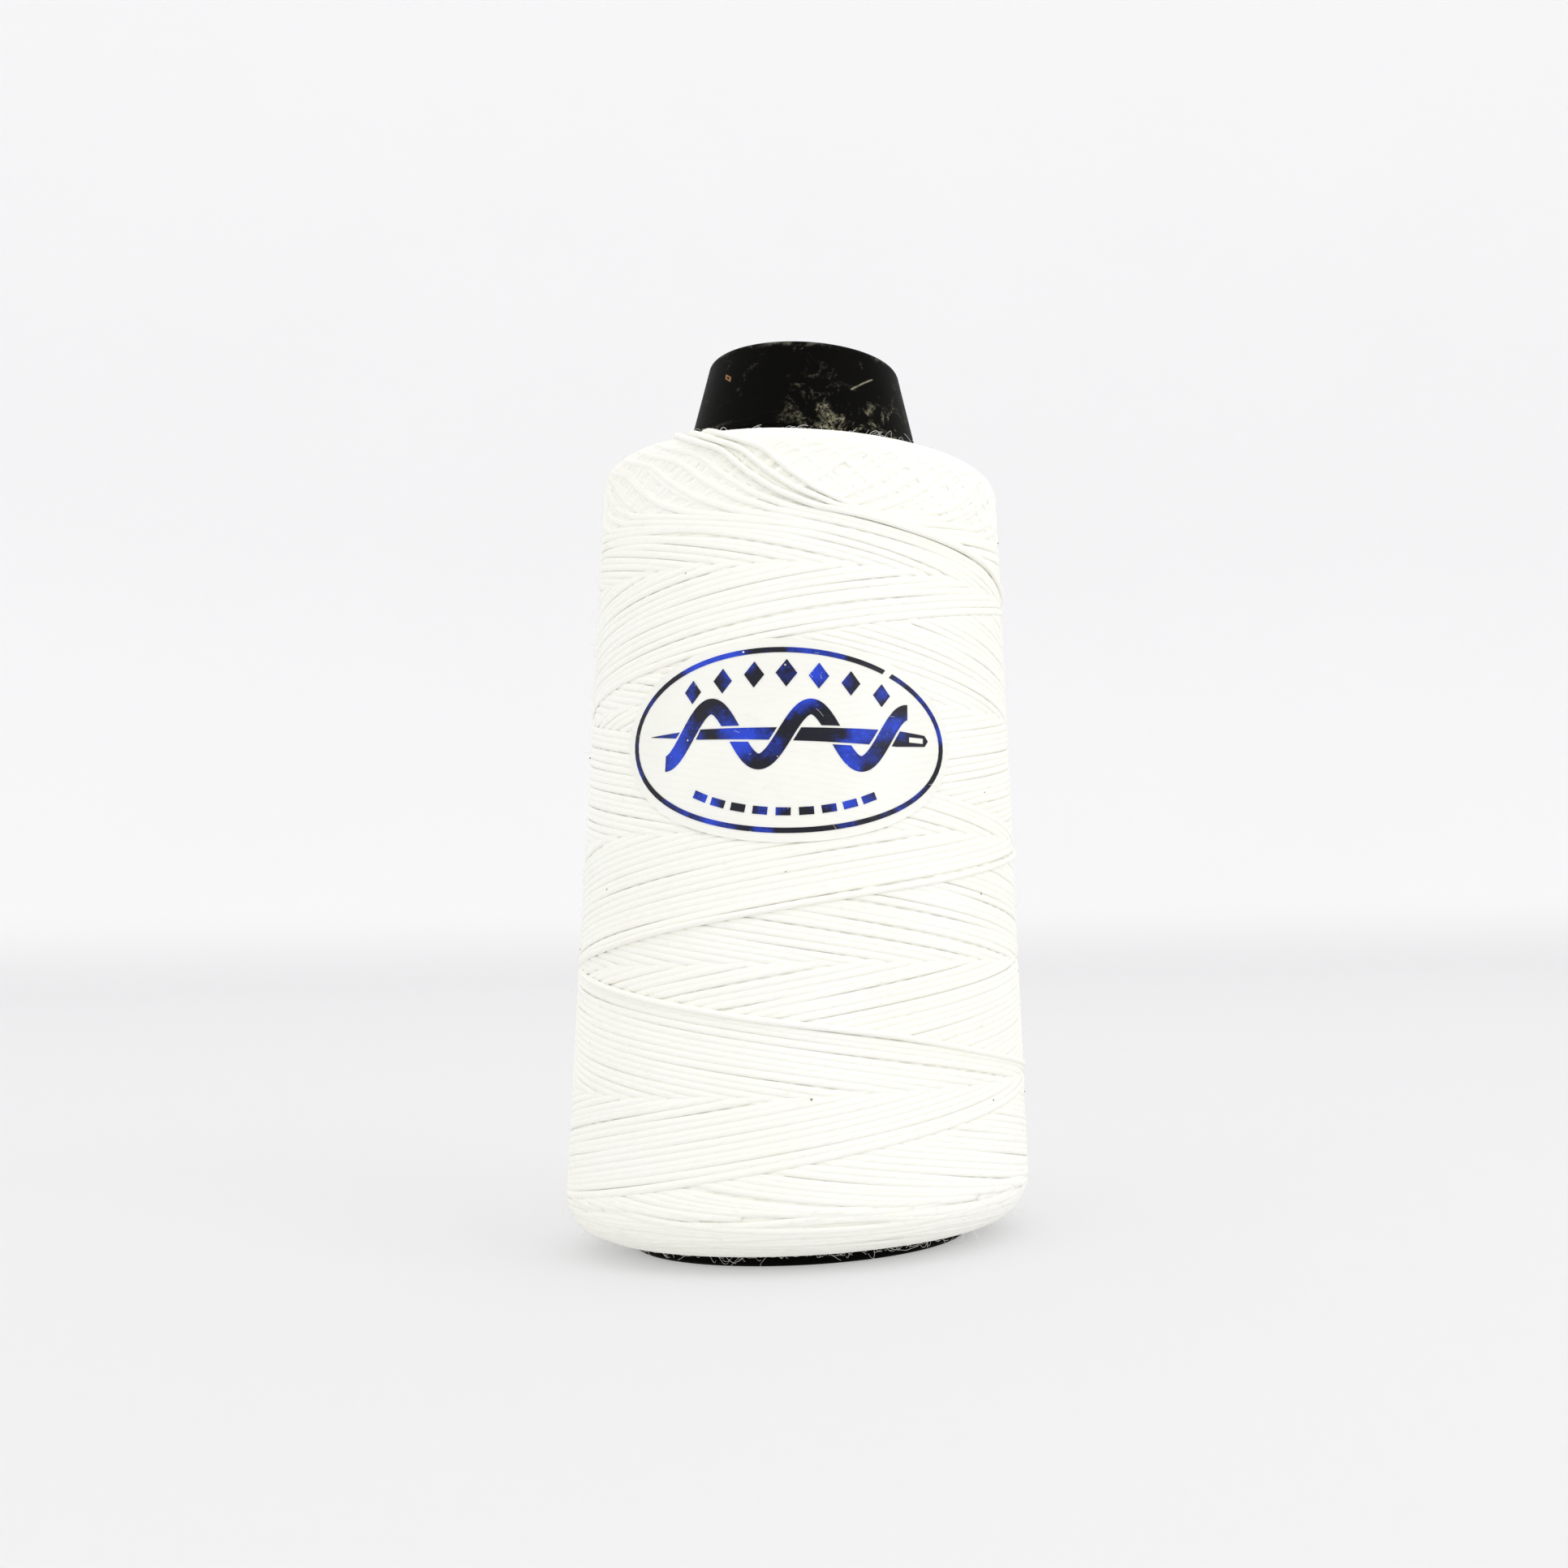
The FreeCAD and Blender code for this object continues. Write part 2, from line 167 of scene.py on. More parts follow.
class ThreadSettings(bpy.types.PropertyGroup):
    """Sizes and colour of the wound thread."""

    radius: length("Radius", "Half the width of the thread where strands press together", 0.50 * MM)
    flatness: share_of("Flatness", "Height of a pressed strand over its width", 0.5, low=0.2)
    free_radius: length("Free Radius", "Radius of a strand that lies proud of the rest", 0.40 * MM)
    strands: bpy.props.IntProperty(
        name="Strands", description="Turns laid side by side in one family", default=37, min=8)
    rows: bpy.props.IntProperty(
        name="Rows", description="Half turns from foot to nose in one stroke", default=6, min=2)
    second_row: length("Second Row", "Height of the lowest crossing row but one", 19.9 * MM)
    row_pitch: length("Row Pitch", "Height from the lowest crossing row to the next", 14.67 * MM)
    row_growth: length("Row Growth", "How much each crossing row is taller than the last", 0.368 * MM)
    start: angle_of("Start", "Angle about the axis where the newest strands cross", -167.0)
    relief: length("Relief", "Height of the upper family over the lower one", 0.12 * MM)
    tint: colour("Tint", "Colour of the thread", (0.968, 0.963, 0.893))


class TubeSettings(bpy.types.PropertyGroup):
    """Finish of the moulded tube."""

    plastic: colour("Plastic", "Colour of the moulded plastic", (0.002, 0.002, 0.0015))
    dust: colour("Dust", "Colour of the dust on the nose", (0.33, 0.31, 0.21))
    roughness: share_of("Roughness", "Roughness of clean plastic", 0.55)


class LabelSettings(bpy.types.PropertyGroup):
    """Sizes and colours of the film label."""

    film: colour("Film", "Colour of the film over the thread", (0.93, 0.93, 0.865))
    thickness: length("Thickness", "Thickness of the film", 0.12 * MM)
    line: length("Line", "Width of the printed border", 0.62 * MM)
    tilt: angle_of("Tilt", "How far the label's right end sits low", 1.0)
    foil_dark: colour("Dark Foil", "Foil where it mirrors the dark", (0.0008, 0.0008, 0.009))
    foil_bright: colour("Bright Foil", "Foil where it catches the light", (0.012, 0.055, 0.62))
    foil: length("Foil", "Thickness of the printed foil", 0.06 * MM)
    ripple: length("Ripple", "How far the thread presses through the film", 0.02 * MM)


class StudioSettings(bpy.types.PropertyGroup):
    """Camera, light and floor."""

    distance: length("Distance", "From the cone's axis to the camera", 210.0 * MM)
    eye: length("Eye Height", "Height of the camera", 36.3 * MM)
    around: angle_of("Around", "Angle of the camera round the axis, from the label's middle", 4.6)
    turn: angle_of("Turn", "How far the camera turns to the right of the axis", 10.08)
    rise: angle_of("Rise", "How far the camera looks up", 5.98)
    roll: angle_of("Roll", "How far the camera leans", -0.97)
    lens: bpy.props.FloatProperty(
        name="Lens", description="Focal length for a 36 mm wide sensor", default=35.76,
        subtype="DISTANCE_CAMERA")
    shift: bpy.props.FloatProperty(
        name="Shift", description="Sideways shift of the lens", default=-0.1884)
    floor: colour("Floor", "Colour of the floor", (0.50, 0.50, 0.508))
    glow: colour("Glow", "Light the floor and backdrop give off, which softens the shadow",
                 (0.31, 0.31, 0.312))
    wall: colour("Wall", "Colour of the backdrop", (0.61, 0.61, 0.617))


SETTINGS = (ThreadSettings, TubeSettings, LabelSettings, StudioSettings)
SETTING_NAMES = ("cone_thread", "cone_tube", "cone_label", "cone_studio")


# ---- shader expressions ----

def both_ways(operation):
    """An operator and its reflection; each adds one Math node."""
    def forwards(self, other):
        return self.maths(operation, self, other)

    def reflected(self, other):
        return self.maths(operation, other, self)

    return forwards, reflected


class Signal:
    """A node socket that sums can be written with; each operator adds a Math node."""

    def __init__(self, graph, socket):
        self.graph = graph
        self.socket = socket

    def maths(self, operation, *values):
        return self.graph.node("ShaderNodeMath", {"operation": operation}, list(values))

    __add__, __radd__ = both_ways("ADD")
    __sub__, __rsub__ = both_ways("SUBTRACT")
    __mul__, __rmul__ = both_ways("MULTIPLY")

    def __abs__(self):
        return self.maths("ABSOLUTE", self)

    def sine(self):
        return self.maths("SINE", self)

    def least(self, other):
        return self.maths("MINIMUM", self, other)


class Graph:
    """A material's node tree, with one method that makes every node."""

    def __init__(self, name):
        self.material = bpy.data.materials.new(name)
        self.material.use_nodes = True
        self.tree = self.material.node_tree
        self.tree.nodes.clear()

    def node(self, kind, settings=None, inputs=None, output=0):
        """One node: its settings first, then values or links for its sockets."""
        made = self.tree.nodes.new(kind)
        for key, value in (settings or {}).items():
            setattr(made, key, value)
        pairs = enumerate(inputs) if isinstance(inputs, list) else (inputs or {}).items()
        for key, value in pairs:
            if isinstance(value, Signal):
                self.tree.links.new(value.socket, made.inputs[key])
            elif value is not None:
                made.inputs[key].default_value = value
        return Signal(self, made.outputs[output]) if made.outputs else None

    def object_place(self):
        return self.node("ShaderNodeTexCoord", output="Object")

    def parts(self, place):
        """The three parts of a place."""
        split = self.node("ShaderNodeSeparateXYZ", {}, {"Vector": place}).socket.node
        return [Signal(self, socket) for socket in split.outputs]

    def noise(self, place, scale, detail=3.0, roughness=0.55, distortion=0.0):
        """Fractal noise from 0 to 1 with features about 1 / scale metres apart."""
        return self.node("ShaderNodeTexNoise", {}, {
            "Vector": place, "Scale": scale, "Detail": detail, "Roughness": roughness,
            "Distortion": distortion})

    def band(self, value, low, high):
        """0 below low, 1 above high, smooth between."""
        return self.node("ShaderNodeMapRange", {"interpolation_type": "SMOOTHSTEP"}, {
            "Value": value, "From Min": low, "From Max": high})

    def mix(self, share, first, second):
        """A colour between two, by a share."""
        shades = [shade if isinstance(shade, Signal) else (*shade, 1.0) for shade in (first, second)]
        return self.node("ShaderNodeMix", {"data_type": "RGBA"},
                         {0: share, 6: shades[0], 7: shades[1]}, output=2)

    def stretched(self, place, factors):
        """A place scaled along each axis."""
        return self.node("ShaderNodeVectorMath", {"operation": "MULTIPLY"}, [place, factors])

    def bump(self, height, strength, distance, normal=None):
        return self.node("ShaderNodeBump", {}, {
            "Strength": strength, "Distance": distance, "Height": height, "Normal": normal})

    def finish(self, **sockets):
        """The Principled shader, with its sockets named by words joined by underscores."""
        inputs = {name.replace("_", " "): value for name, value in sockets.items()}
        shader = self.node("ShaderNodeBsdfPrincipled", {}, inputs)
        self.node("ShaderNodeOutputMaterial", {}, {"Surface": shader})
        return self.material


# ---- materials ----

MATERIALS = {}


def material(maker):
    """The material that a maker function makes, made once."""
    if maker.__name__ not in MATERIALS:
        MATERIALS[maker.__name__] = maker()
    return MATERIALS[maker.__name__]


def thread_cotton():
    """White twisted cotton: plies along the strand with painted shade in the grooves between them, fibres,
    a little colour drift.
    """
    tint = bpy.context.scene.cone_thread.tint
    graph = Graph("thread_cotton")
    place = graph.object_place()
    lay = graph.node("ShaderNodeUVMap", {"uv_map": "Strand"})
    along, around, _ = graph.parts(lay)
    ply = abs(((along + around * 3.0) * math.pi).sine())
    fibre = graph.noise(graph.stretched(lay, (2.0, 26.0, 1.0)), 1.0, detail=2.0)
    drift = graph.noise(place, 55.0, detail=2.0)
    shade = graph.mix(graph.band(drift, 0.35, 0.7), tuple(tint), (0.977, 0.973, 0.93))
    # Painted shade: the grooves between the plies are painted a darker, creamier white.
    painted_groove_shade = graph.band(ply, 0.0, 0.5)
    shade = graph.mix(painted_groove_shade, (0.96, 0.953, 0.86), shade)
    relief = ply * 0.6 + fibre * 0.4
    return graph.finish(
        Base_Color=shade, Roughness=0.85, Sheen_Weight=0.15, Sheen_Roughness=0.5,
        Specular_IOR_Level=0.15, Normal=graph.bump(relief, 0.3, 0.08 * MM))


def thread_core():
    """The inner layers, seen only between strands."""
    graph = Graph("thread_core")
    place = graph.object_place()
    grain = graph.noise(graph.stretched(place, (1.0, 1.0, 9.0)), 320.0, detail=3.0)
    shade = graph.mix(grain, (0.967, 0.96, 0.865), (0.98, 0.975, 0.91))
    return graph.finish(Base_Color=shade, Roughness=0.9, Specular_IOR_Level=0.1,
                        Normal=graph.bump(grain, 0.6, 0.2 * MM))


def thread_lint():
    """Loose fibres."""
    graph = Graph("thread_lint")
    drift = graph.noise(graph.object_place(), 300.0)
    shade = graph.mix(drift, (0.86, 0.85, 0.80), (0.95, 0.95, 0.93))
    return graph.finish(Base_Color=shade, Roughness=0.7, Specular_IOR_Level=0.3)


def dark_speck():
    """Specks of dirt caught in the thread."""
    graph = Graph("dark_speck")
    drift = graph.noise(graph.object_place(), 900.0)
    shade = graph.mix(drift, (0.10, 0.085, 0.06), (0.32, 0.27, 0.2))
    return graph.finish(Base_Color=shade, Roughness=0.8)


# Marks on the front of the nose, by distance across and height.
NOSE_SCRATCH = ((6.8 * MM, 108.5 * MM), (9.7 * MM, 111.1 * MM))
NOSE_CHIP = (-9.0 * MM, 110.6 * MM)


def tube_plastic():
    """Black moulded plastic with dust, a scratch, a chip and fine moulding lines."""
    options = bpy.context.scene.cone_tube
    graph = Graph("tube_plastic")
    place = graph.object_place()
    across, depth, height = graph.parts(place)
    grain = graph.noise(place, 1900.0, detail=4.0, roughness=0.7)
    turned = graph.noise(graph.stretched(place, (0.06, 0.06, 1.0)), 2600.0, detail=2.0)
    patches = graph.noise(place, 330.0, detail=5.0, roughness=0.72, distortion=0.6)
    streaks = graph.noise(graph.stretched(place, (0.10, 0.10, 1.0)), 1300.0, detail=3.0)
    crumbs = graph.noise(place, 2400.0, detail=4.0, roughness=0.85)

    low = graph.band(height, 111.0 * MM, 103.0 * MM)
    side = graph.band(across, -2.5 * MM, 3.0 * MM) * graph.band(depth, -4.0 * MM, -9.0 * MM)
    smear = graph.band(patches, 0.50, 0.62) * low * side
    rubbed = graph.band(streaks, 0.52, 0.68) * graph.band(height, 105.0 * MM, 102.0 * MM)
    rest = graph.band(patches, 0.56, 0.70) * 0.3
    above = graph.band(height, 60.0 * MM, 90.0 * MM)
    dust = (smear + rubbed * 0.55 + rest) * above * graph.band(crumbs, 0.42, 0.56)

    (start_across, start_height), (end_across, end_height) = NOSE_SCRATCH
    reach = math.hypot(end_across - start_across, end_height - start_height)
    run, climb = (end_across - start_across) / reach, (end_height - start_height) / reach
    off = abs((across - start_across) * climb - (height - start_height) * run)
    on = (across - start_across) * run + (height - start_height) * climb
    scratch = (graph.band(off, 0.16 * MM, 0.04 * MM) * graph.band(on, 0.0, 0.3 * MM)
               * graph.band(on, reach, reach - 0.5 * MM) * graph.band(depth, -4.0 * MM, -7.0 * MM)
               * graph.band(crumbs, 0.3, 0.5))
    mask = (dust * 0.75 + scratch * 0.75).least(1.0)
    shade = graph.mix(mask, tuple(options.plastic), tuple(options.dust))
    beside, above_chip = across - NOSE_CHIP[0], height - NOSE_CHIP[1]
    from_chip = abs(beside + above_chip * 0.5) + abs(above_chip) * 0.6
    chip = (graph.band(from_chip, 0.48 * MM, 0.36 * MM) * graph.band(from_chip, 0.12 * MM, 0.24 * MM)
            * graph.band(depth, -4.0 * MM, -7.0 * MM))
    outside = graph.band(across * across + depth * depth, (11.0 * MM) ** 2, (12.0 * MM) ** 2)
    edge = (graph.band(height, 114.0 * MM, 114.6 * MM) * graph.band(patches, 0.48, 0.6)
            * (outside * 0.6 + 0.1))
    shade = graph.mix(chip * 0.8, shade, (0.36, 0.19, 0.09))
    shade = graph.mix(edge, shade, (0.12, 0.115, 0.09))
    rough = options.roughness + mask * 0.3 - grain * 0.1
    relief = grain * 0.5 + turned * 0.5 + mask * 0.6
    return graph.finish(Base_Color=shade, Roughness=rough, Specular_IOR_Level=0.025,
                        Normal=graph.bump(relief, 0.35, 0.05 * MM))


def label_film_cast():
    """Thin glossy film, milky where it lies on the thread."""
    graph = Graph("label_film_cast")
    place = graph.object_place()
    cloud = graph.noise(place, 120.0, detail=3.0)
    fine = graph.noise(place, 1400.0, detail=2.0)
    base = tuple(bpy.context.scene.cone_label.film)
    shade = graph.mix(graph.band(cloud, 0.3, 0.7), base, tuple(part * 0.97 for part in base))
    return graph.finish(Base_Color=shade, Roughness=0.30 + fine * 0.08, Coat_Weight=0.25,
                        Coat_Roughness=0.12, Specular_IOR_Level=0.4,
                        Normal=graph.bump(cloud, 0.25, 0.15 * MM))


def label_foil():
    """Hot-stamped blue foil: near black, with bright blue patches and glints that are a painted reflection,
    and pinholes.
    """
    options = bpy.context.scene.cone_label
    graph = Graph("label_foil")
    place = graph.object_place()
    cloud = graph.noise(place, 210.0, detail=2.0, roughness=0.5)
    sparkle = graph.noise(place, 2600.0, detail=2.0, roughness=0.7)
    holes = graph.node("ShaderNodeTexVoronoi", {"feature": "F1"}, {"Vector": place, "Scale": 620.0})
    # Painted reflection: near black where the foil would mirror dark surroundings, bright blue in patches
    # where it would catch the light.
    lit = graph.band(cloud + sparkle * 0.2, 0.54, 0.82)
    shade = graph.mix(lit, tuple(options.foil_dark), tuple(options.foil_bright))
    # Painted glints of paler blue inside the painted reflection.
    glint = graph.band(sparkle, 0.62, 0.75) * lit
    shade = graph.mix(glint * 0.5, shade, (0.06, 0.2, 0.75))
    worn = graph.band(holes, 0.10, 0.05) * graph.band(cloud, 0.35, 0.6)
    shade = graph.mix(worn, shade, tuple(options.film))
    return graph.finish(Base_Color=shade, Roughness=0.28 + sparkle * 0.2, Metallic=0.0,
                        Specular_IOR_Level=0.35, Normal=graph.bump(sparkle, 0.3, 0.02 * MM))


def pale_floor():
    """Plain matt floor that grows paler up the backdrop, where less light falls."""
    options = bpy.context.scene.cone_studio
    graph = Graph("pale_floor")
    place = graph.object_place()
    drift = graph.noise(place, 4.0, detail=1.0)
    share = graph.band(graph.parts(place)[2], 0.0, 0.1) * (0.9 + drift * 0.1)
    shade = graph.mix(share, tuple(options.floor), tuple(options.wall))
    return graph.finish(Base_Color=shade, Roughness=0.95, Specular_IOR_Level=0.1,
                        Emission_Color=(*options.glow, 1.0), Emission_Strength=1.0)


# ---- mesh building ----

def add_piece(name, mesh, maker):
    """A named object that rides on the cone, with its material."""
    piece = bpy.data.objects.new(name, mesh)
    bpy.context.scene.collection.objects.link(piece)
    piece.data.materials.append(material(maker))
    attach(piece, BODY)
    return piece


def quad_mesh(name, places, quads, maps=None, smooth=True):
    """A mesh of four-sided faces from arrays, with UV maps given corner by corner."""
    mesh = bpy.data.meshes.new(name)
    mesh.vertices.add(len(places))
    mesh.vertices.foreach_set("co", np.ascontiguousarray(places, dtype=np.float32).ravel())
    mesh.loops.add(quads.size)
    mesh.loops.foreach_set("vertex_index", quads.ravel().astype(np.int32))
    mesh.polygons.add(len(quads))
    mesh.polygons.foreach_set("loop_start", np.arange(0, quads.size, 4, dtype=np.int32))
    mesh.update(calc_edges=True)
    mesh.polygons.foreach_set("use_smooth", np.full(len(quads), smooth))
    for title, corners in (maps or {}).items():
        layer = mesh.uv_layers.new(name=title)
        layer.data.foreach_set("uv", np.ascontiguousarray(corners, dtype=np.float32).ravel())
    return mesh


def turns_of(sides):
    """Angles evenly round a full turn."""
    return 2 * np.pi * np.arange(sides) / sides


def ring_quads(rings, sides, joined=False):
    """Four-sided faces between each ring of vertices and the next, back to the first if joined."""
    first = np.arange(rings if joined else rings - 1)[:, None] * sides
    following = (first + sides) % (rings * sides)
    side = np.arange(sides)[None, :]
    after = (side + 1) % sides
    return np.stack([first + side, first + after, following + after, following + side],
                    -1).reshape(-1, 4)


def unit(vectors):
    return vectors / np.linalg.norm(vectors, axis=-1, keepdims=True)


# The faces that close a strand's end, by its number of sides.
CAPS = {4: [[0, 1, 2, 3]], 8: [[0, 1, 2, 3], [0, 3, 4, 7], [7, 4, 5, 6]]}
PLY_PITCH = 2.6 * MM
ROW_LENGTH = 90 * MM
CAP_SHARE = 0.02


def strand_rings(route, outward, radius, turns, flatness):
    """Rings of vertices round one strand, flattened along its outward direction."""
    ahead = unit(np.gradient(route, axis=0))
    aside = unit(np.cross(ahead, outward))
    upward = np.cross(aside, ahead)
    ring = (flatness * np.cos(turns)[None, :, None] * upward[:, None, :]
            + np.sin(turns)[None, :, None] * aside[:, None, :])
    return (route[:, None, :] + radius * ring).reshape(-1, 3)


def strand_corners(gone, sides, caps):
    """Distance along and share round one strand, for the corners of its walls and its caps."""
    side = np.arange(sides)[None, :]
    start, end = gone[:-1, None] + 0 * side, gone[1:, None] + 0 * side
    low, high = side / sides + 0 * start, (side + 1) / sides + 0 * start
    corners = [np.stack([np.stack([start, low], -1), np.stack([start, high], -1),
                         np.stack([end, high], -1), np.stack([end, low], -1)], 2).reshape(-1, 4, 2)]
    for place, inward in ((0.0, 1), (gone[-1], -1)):
        spot = np.tile(np.array([place, 0.5]), (caps, 4, 1))
        spot[:, 1:3, 1] += CAP_SHARE
        spot[:, 2:4, 0] += CAP_SHARE * MM * inward
        corners.append(spot)
    return np.concatenate(corners)


def folded_rows(lay, spans):
    """The bake's map: strands cut into stretches, and every stretch in a row of its own."""
    folds = [max(1, math.ceil(span / ROW_LENGTH)) for span in spans]
    rows = sum(folds)
    first, made = 0, []
    for corners, span, count in zip(lay, spans, folds):
        along, around = corners[:, :, 0], corners[:, :, 1]
        fold = np.minimum((along.mean(axis=1) / span * count).astype(int), count - 1)[:, None]
        share = np.clip(along / span * count - fold, 0, 1)
        made.append(np.stack([0.002 + 0.996 * share, (first + fold + 0.06 + 0.88 * around) / rows], -1))
        first += count
    return np.concatenate(made)


def strand_mesh(name, routes, radius, sides=8, flatness=1.0):
    """Closed strands along routes, each a pair of arrays: places and outward directions.

    The Strand map runs once per ply pitch along a strand and once around it.
    """
    caps = np.array(CAPS[sides])
    places, quads, lay, spans = [], [], [], []
    base = 0
    for route, outward in routes:
        places.append(strand_rings(route, outward, radius, turns_of(sides), flatness))
        last = (len(route) - 1) * sides
        quads += [base + ring_quads(len(route), sides), base + caps[:, ::-1], base + last + caps]
        gone = np.append(0, np.cumsum(np.linalg.norm(np.diff(route, axis=0), axis=1)))
        lay.append(strand_corners(gone, sides, len(caps)))
        spans.append(gone[-1])
        base += last + sides
    maps = {"Strand": np.concatenate(lay) / np.array([PLY_PITCH, 1.0]), "OFBake": folded_rows(lay, spans)}
    return quad_mesh(name, np.concatenate(places), np.concatenate(quads), maps)


# ---- winding ----

FLANK_GROUPS = 4


class Winding:
    """How the thread goes round: rows of crossings, two families, and which lies on top."""

    def __init__(self):
        options = bpy.context.scene.cone_thread
        self.count = options.strands
        self.rows = options.rows
        self.radius = options.radius
        self.flatness = options.flatness
        self.thick = options.radius * options.flatness
        self.relief = options.relief
        self.start = options.start
        self.foot = PACKAGE.at_height(options.second_row) - options.row_pitch
        self.pitch = options.row_pitch - options.row_growth / 2
        self.growth = options.row_growth / 2

    def along(self, row):
        """Distance along the outside of a row number, whole or not."""
        return self.foot + self.pitch * row + self.growth * row * row

    def row_at(self, along):
        """Row number at a distance along the outside."""
        square = self.pitch ** 2 + 4 * self.growth * (along - self.foot)
        return (np.sqrt(np.maximum(square, 0)) - self.pitch) / (2 * self.growth)

    def ages(self, angle, row):
        """Age of the climbing and of the falling strand at a place, oldest 0, newest count."""
        turn = (angle - self.start) / (2 * np.pi)
        climbing = (turn - row / 2) * self.count
        falling = (turn + row / 2) * self.count
        return climbing % self.count, falling % self.count


# How far a strand stands above its straight course near the nose, by half turns from the
# middle of its loop: across the end face, steeply over the shoulder, then flat.
LOOP = ((0.0, 7.7), (0.1, 8.5), (0.2, 6.8), (0.24, 5.0), (0.27, 4.0), (0.33, 3.2), (0.37, 0.9),
        (0.41, -0.7), (0.47, -1.7), (0.6, -1.3), (0.8, 0.0))


def loop_rise(away):
    """Rise of a strand above its straight course, by half turns from the middle of its loop."""
    turns, rises = zip(*LOOP)
    return np.interp(np.abs(away), turns, np.array(rises) * MM)


def smoothed(values, width):
    """A running mean over a number of samples."""
    width = max(1, int(width) | 1)
    kernel = np.hanning(width + 2)[1:-1]
    kernel /= kernel.sum()
    return np.convolve(np.pad(values, width // 2, "edge"), kernel, "valid")


MIDDLE_RADIUS = 27 * MM
END_GAP = 0.5 * MM


def double_stroke(winding, index, step, random):
    """One strand from the foot to the nose and back, as distance, angle and lift arrays.

    Its points lie closer together near the nose, where it bends most.
    """
    rows = winding.rows
    per_row = math.pi * MIDDLE_RADIUS
    coarse = np.linspace(0, 2 * rows, 2000)
    closeness = np.cumsum(1 + 0.9 * np.exp(-((coarse - rows) / 0.42) ** 4))
    count = int(2 * rows * per_row / step)
    travel = np.interp(np.linspace(closeness[0], closeness[-1], count), closeness, coarse)
    foot_width = 0.10 + 0.05 * random.random()
    away = travel - rows
    row = np.sqrt((rows - np.abs(away)) ** 2 + foot_width ** 2)
    angle = winding.start + 2 * np.pi * index / winding.count + np.pi * travel
    climbing, falling = winding.ages(angle, rows - np.abs(away))
    lead = np.where(away < 0, index - falling, index - climbing)
    lift = winding.relief * np.clip(lead / 1.5, -1, 1)
    layer = winding.relief * (1.5 * index / winding.count - 0.8)
    over = np.clip((0.38 - np.abs(away)) / 0.1, 0, 1)
    lift = smoothed(lift + (layer - lift) * over, 2.6 * MM / step)
    wander = smoothed(random.normal(0, 1, count), 40 * MM / step) * 0.5 * MM
    spread = random.uniform(0.9, 1.12)
    rise = loop_rise(away * spread) * random.uniform(0.88, 1.0)
    along = winding.along(row) + smoothed(rise, 2.4 * MM / step) + wander
    return np.clip(along, 0, PACKAGE.length - END_GAP), angle, lift


def wind_flank(winding, step):
    """Routes of all the strands on the flank, each from foot to nose and back."""
    random = np.random.default_rng(11)
    routes = []
    seat = -(winding.thick + winding.relief)
    for index in range(winding.count):
        along, angle, lift = double_stroke(winding, index, step, random)
        newest = 0.05 * MM if index == winding.count - 1 else 0.0
        routes.append(PACKAGE.points(along, angle, seat + lift + newest))
    return routes


def reversal_arcs(winding, low, high, inward, count, seed, step):
    """Short arcs of older turns that run round an end face and dive back into the thread."""
    random = np.random.default_rng(seed)
    routes = []
    for number in range(count):
        apex = low + (high - low) * (number + random.random()) / count
        half = math.radians(random.uniform(38, 80))
        centre = random.uniform(0, 2 * np.pi)
        radius = np.interp(apex, PACKAGE.steps, PACKAGE.radius)
        sweep = np.linspace(-1, 1, max(12, int(2 * half * radius / step)))
        bend = random.uniform(0.8, 2.2) * MM
        slope = random.uniform(-0.6, 0.6) * MM
        along = apex - inward * bend * sweep ** 2 + slope * sweep
        dive = np.clip(np.abs(sweep) * 3.2 - 2.2, 0, 1) ** 2
        lift = -winding.thick * (1.0 + 1.6 * dive) - random.uniform(0.0, 0.12) * MM
        routes.append(PACKAGE.points(along, centre + half * sweep, lift))
    return routes


def older_loops(winding, step):
    """Loops of older turns over the shoulder, in layers one under another."""
    random = np.random.default_rng(17)
    routes = []
    for layer in range(1, 5):
        for index in range(winding.count):
            away = np.linspace(-0.52, 0.52, int(1.04 * math.pi * 26 * MM / step))
            start = (index + 0.21 * layer + 0.15 * random.random()) / winding.count
            angle = winding.start + 2 * np.pi * start + np.pi * away
            reach = (1.0 - 0.13 * (layer - 1)) * random.uniform(0.96, 1.0)
            rise = smoothed(loop_rise(away * random.uniform(0.97, 1.05)), 3) * reach
            dive = np.clip(np.abs(away) * 8 - 3.2, 0, 1)
            lift = -winding.thick - winding.relief * (0.2 + 0.35 * layer + 2.5 * dive)
            along = np.minimum(winding.along(winding.rows - np.abs(away)) + rise,
                               PACKAGE.length - END_GAP)
            routes.append(PACKAGE.points(along, angle, lift))
    return routes


class ConePiece(bpy.types.Operator):
    """Shared by every operator that makes a piece of the cone."""

    bl_options = {"REGISTER", "UNDO"}

    def execute(self, context):
        self.make(context)
        return {"FINISHED"}


class WindFlank(ConePiece):
    """Wind the crossing strands of the flank"""

    bl_idname = "cone.wind_flank"
    bl_label = "Wind Flank"

    def make(self, context):
        winding = Winding()
        routes = wind_flank(winding, 1.15 * MM)
        for number in range(FLANK_GROUPS):
            name = "flank_winding_%d" % (number + 1)
            mesh = strand_mesh(name, routes[number::FLANK_GROUPS], winding.radius,
                               flatness=winding.flatness)
            piece = add_piece(name, mesh, thread_cotton)
            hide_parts("thread_package")


class WindEnds(ConePiece):
    """Wind the reversing strands of the two ends"""

    bl_idname = "cone.wind_ends"
    bl_label = "Wind Ends"

    def make(self, context):
        winding = Winding()
        step = 1.2 * MM
        foot = reversal_arcs(winding, winding.radius * 0.6, winding.along(0.05), -1, 150, 5, step)
        nose = reversal_arcs(winding, winding.along(winding.rows),
                             PACKAGE.length - winding.radius * 0.6, 1, 60, 6, step)
        loops = older_loops(winding, step)
        for name, routes in (("foot_winding", foot), ("nose_winding", nose), ("shoulder_winding", loops)):
            mesh = strand_mesh(name, routes, winding.radius * 0.95, flatness=winding.flatness)
            add_piece(name, mesh, thread_cotton)


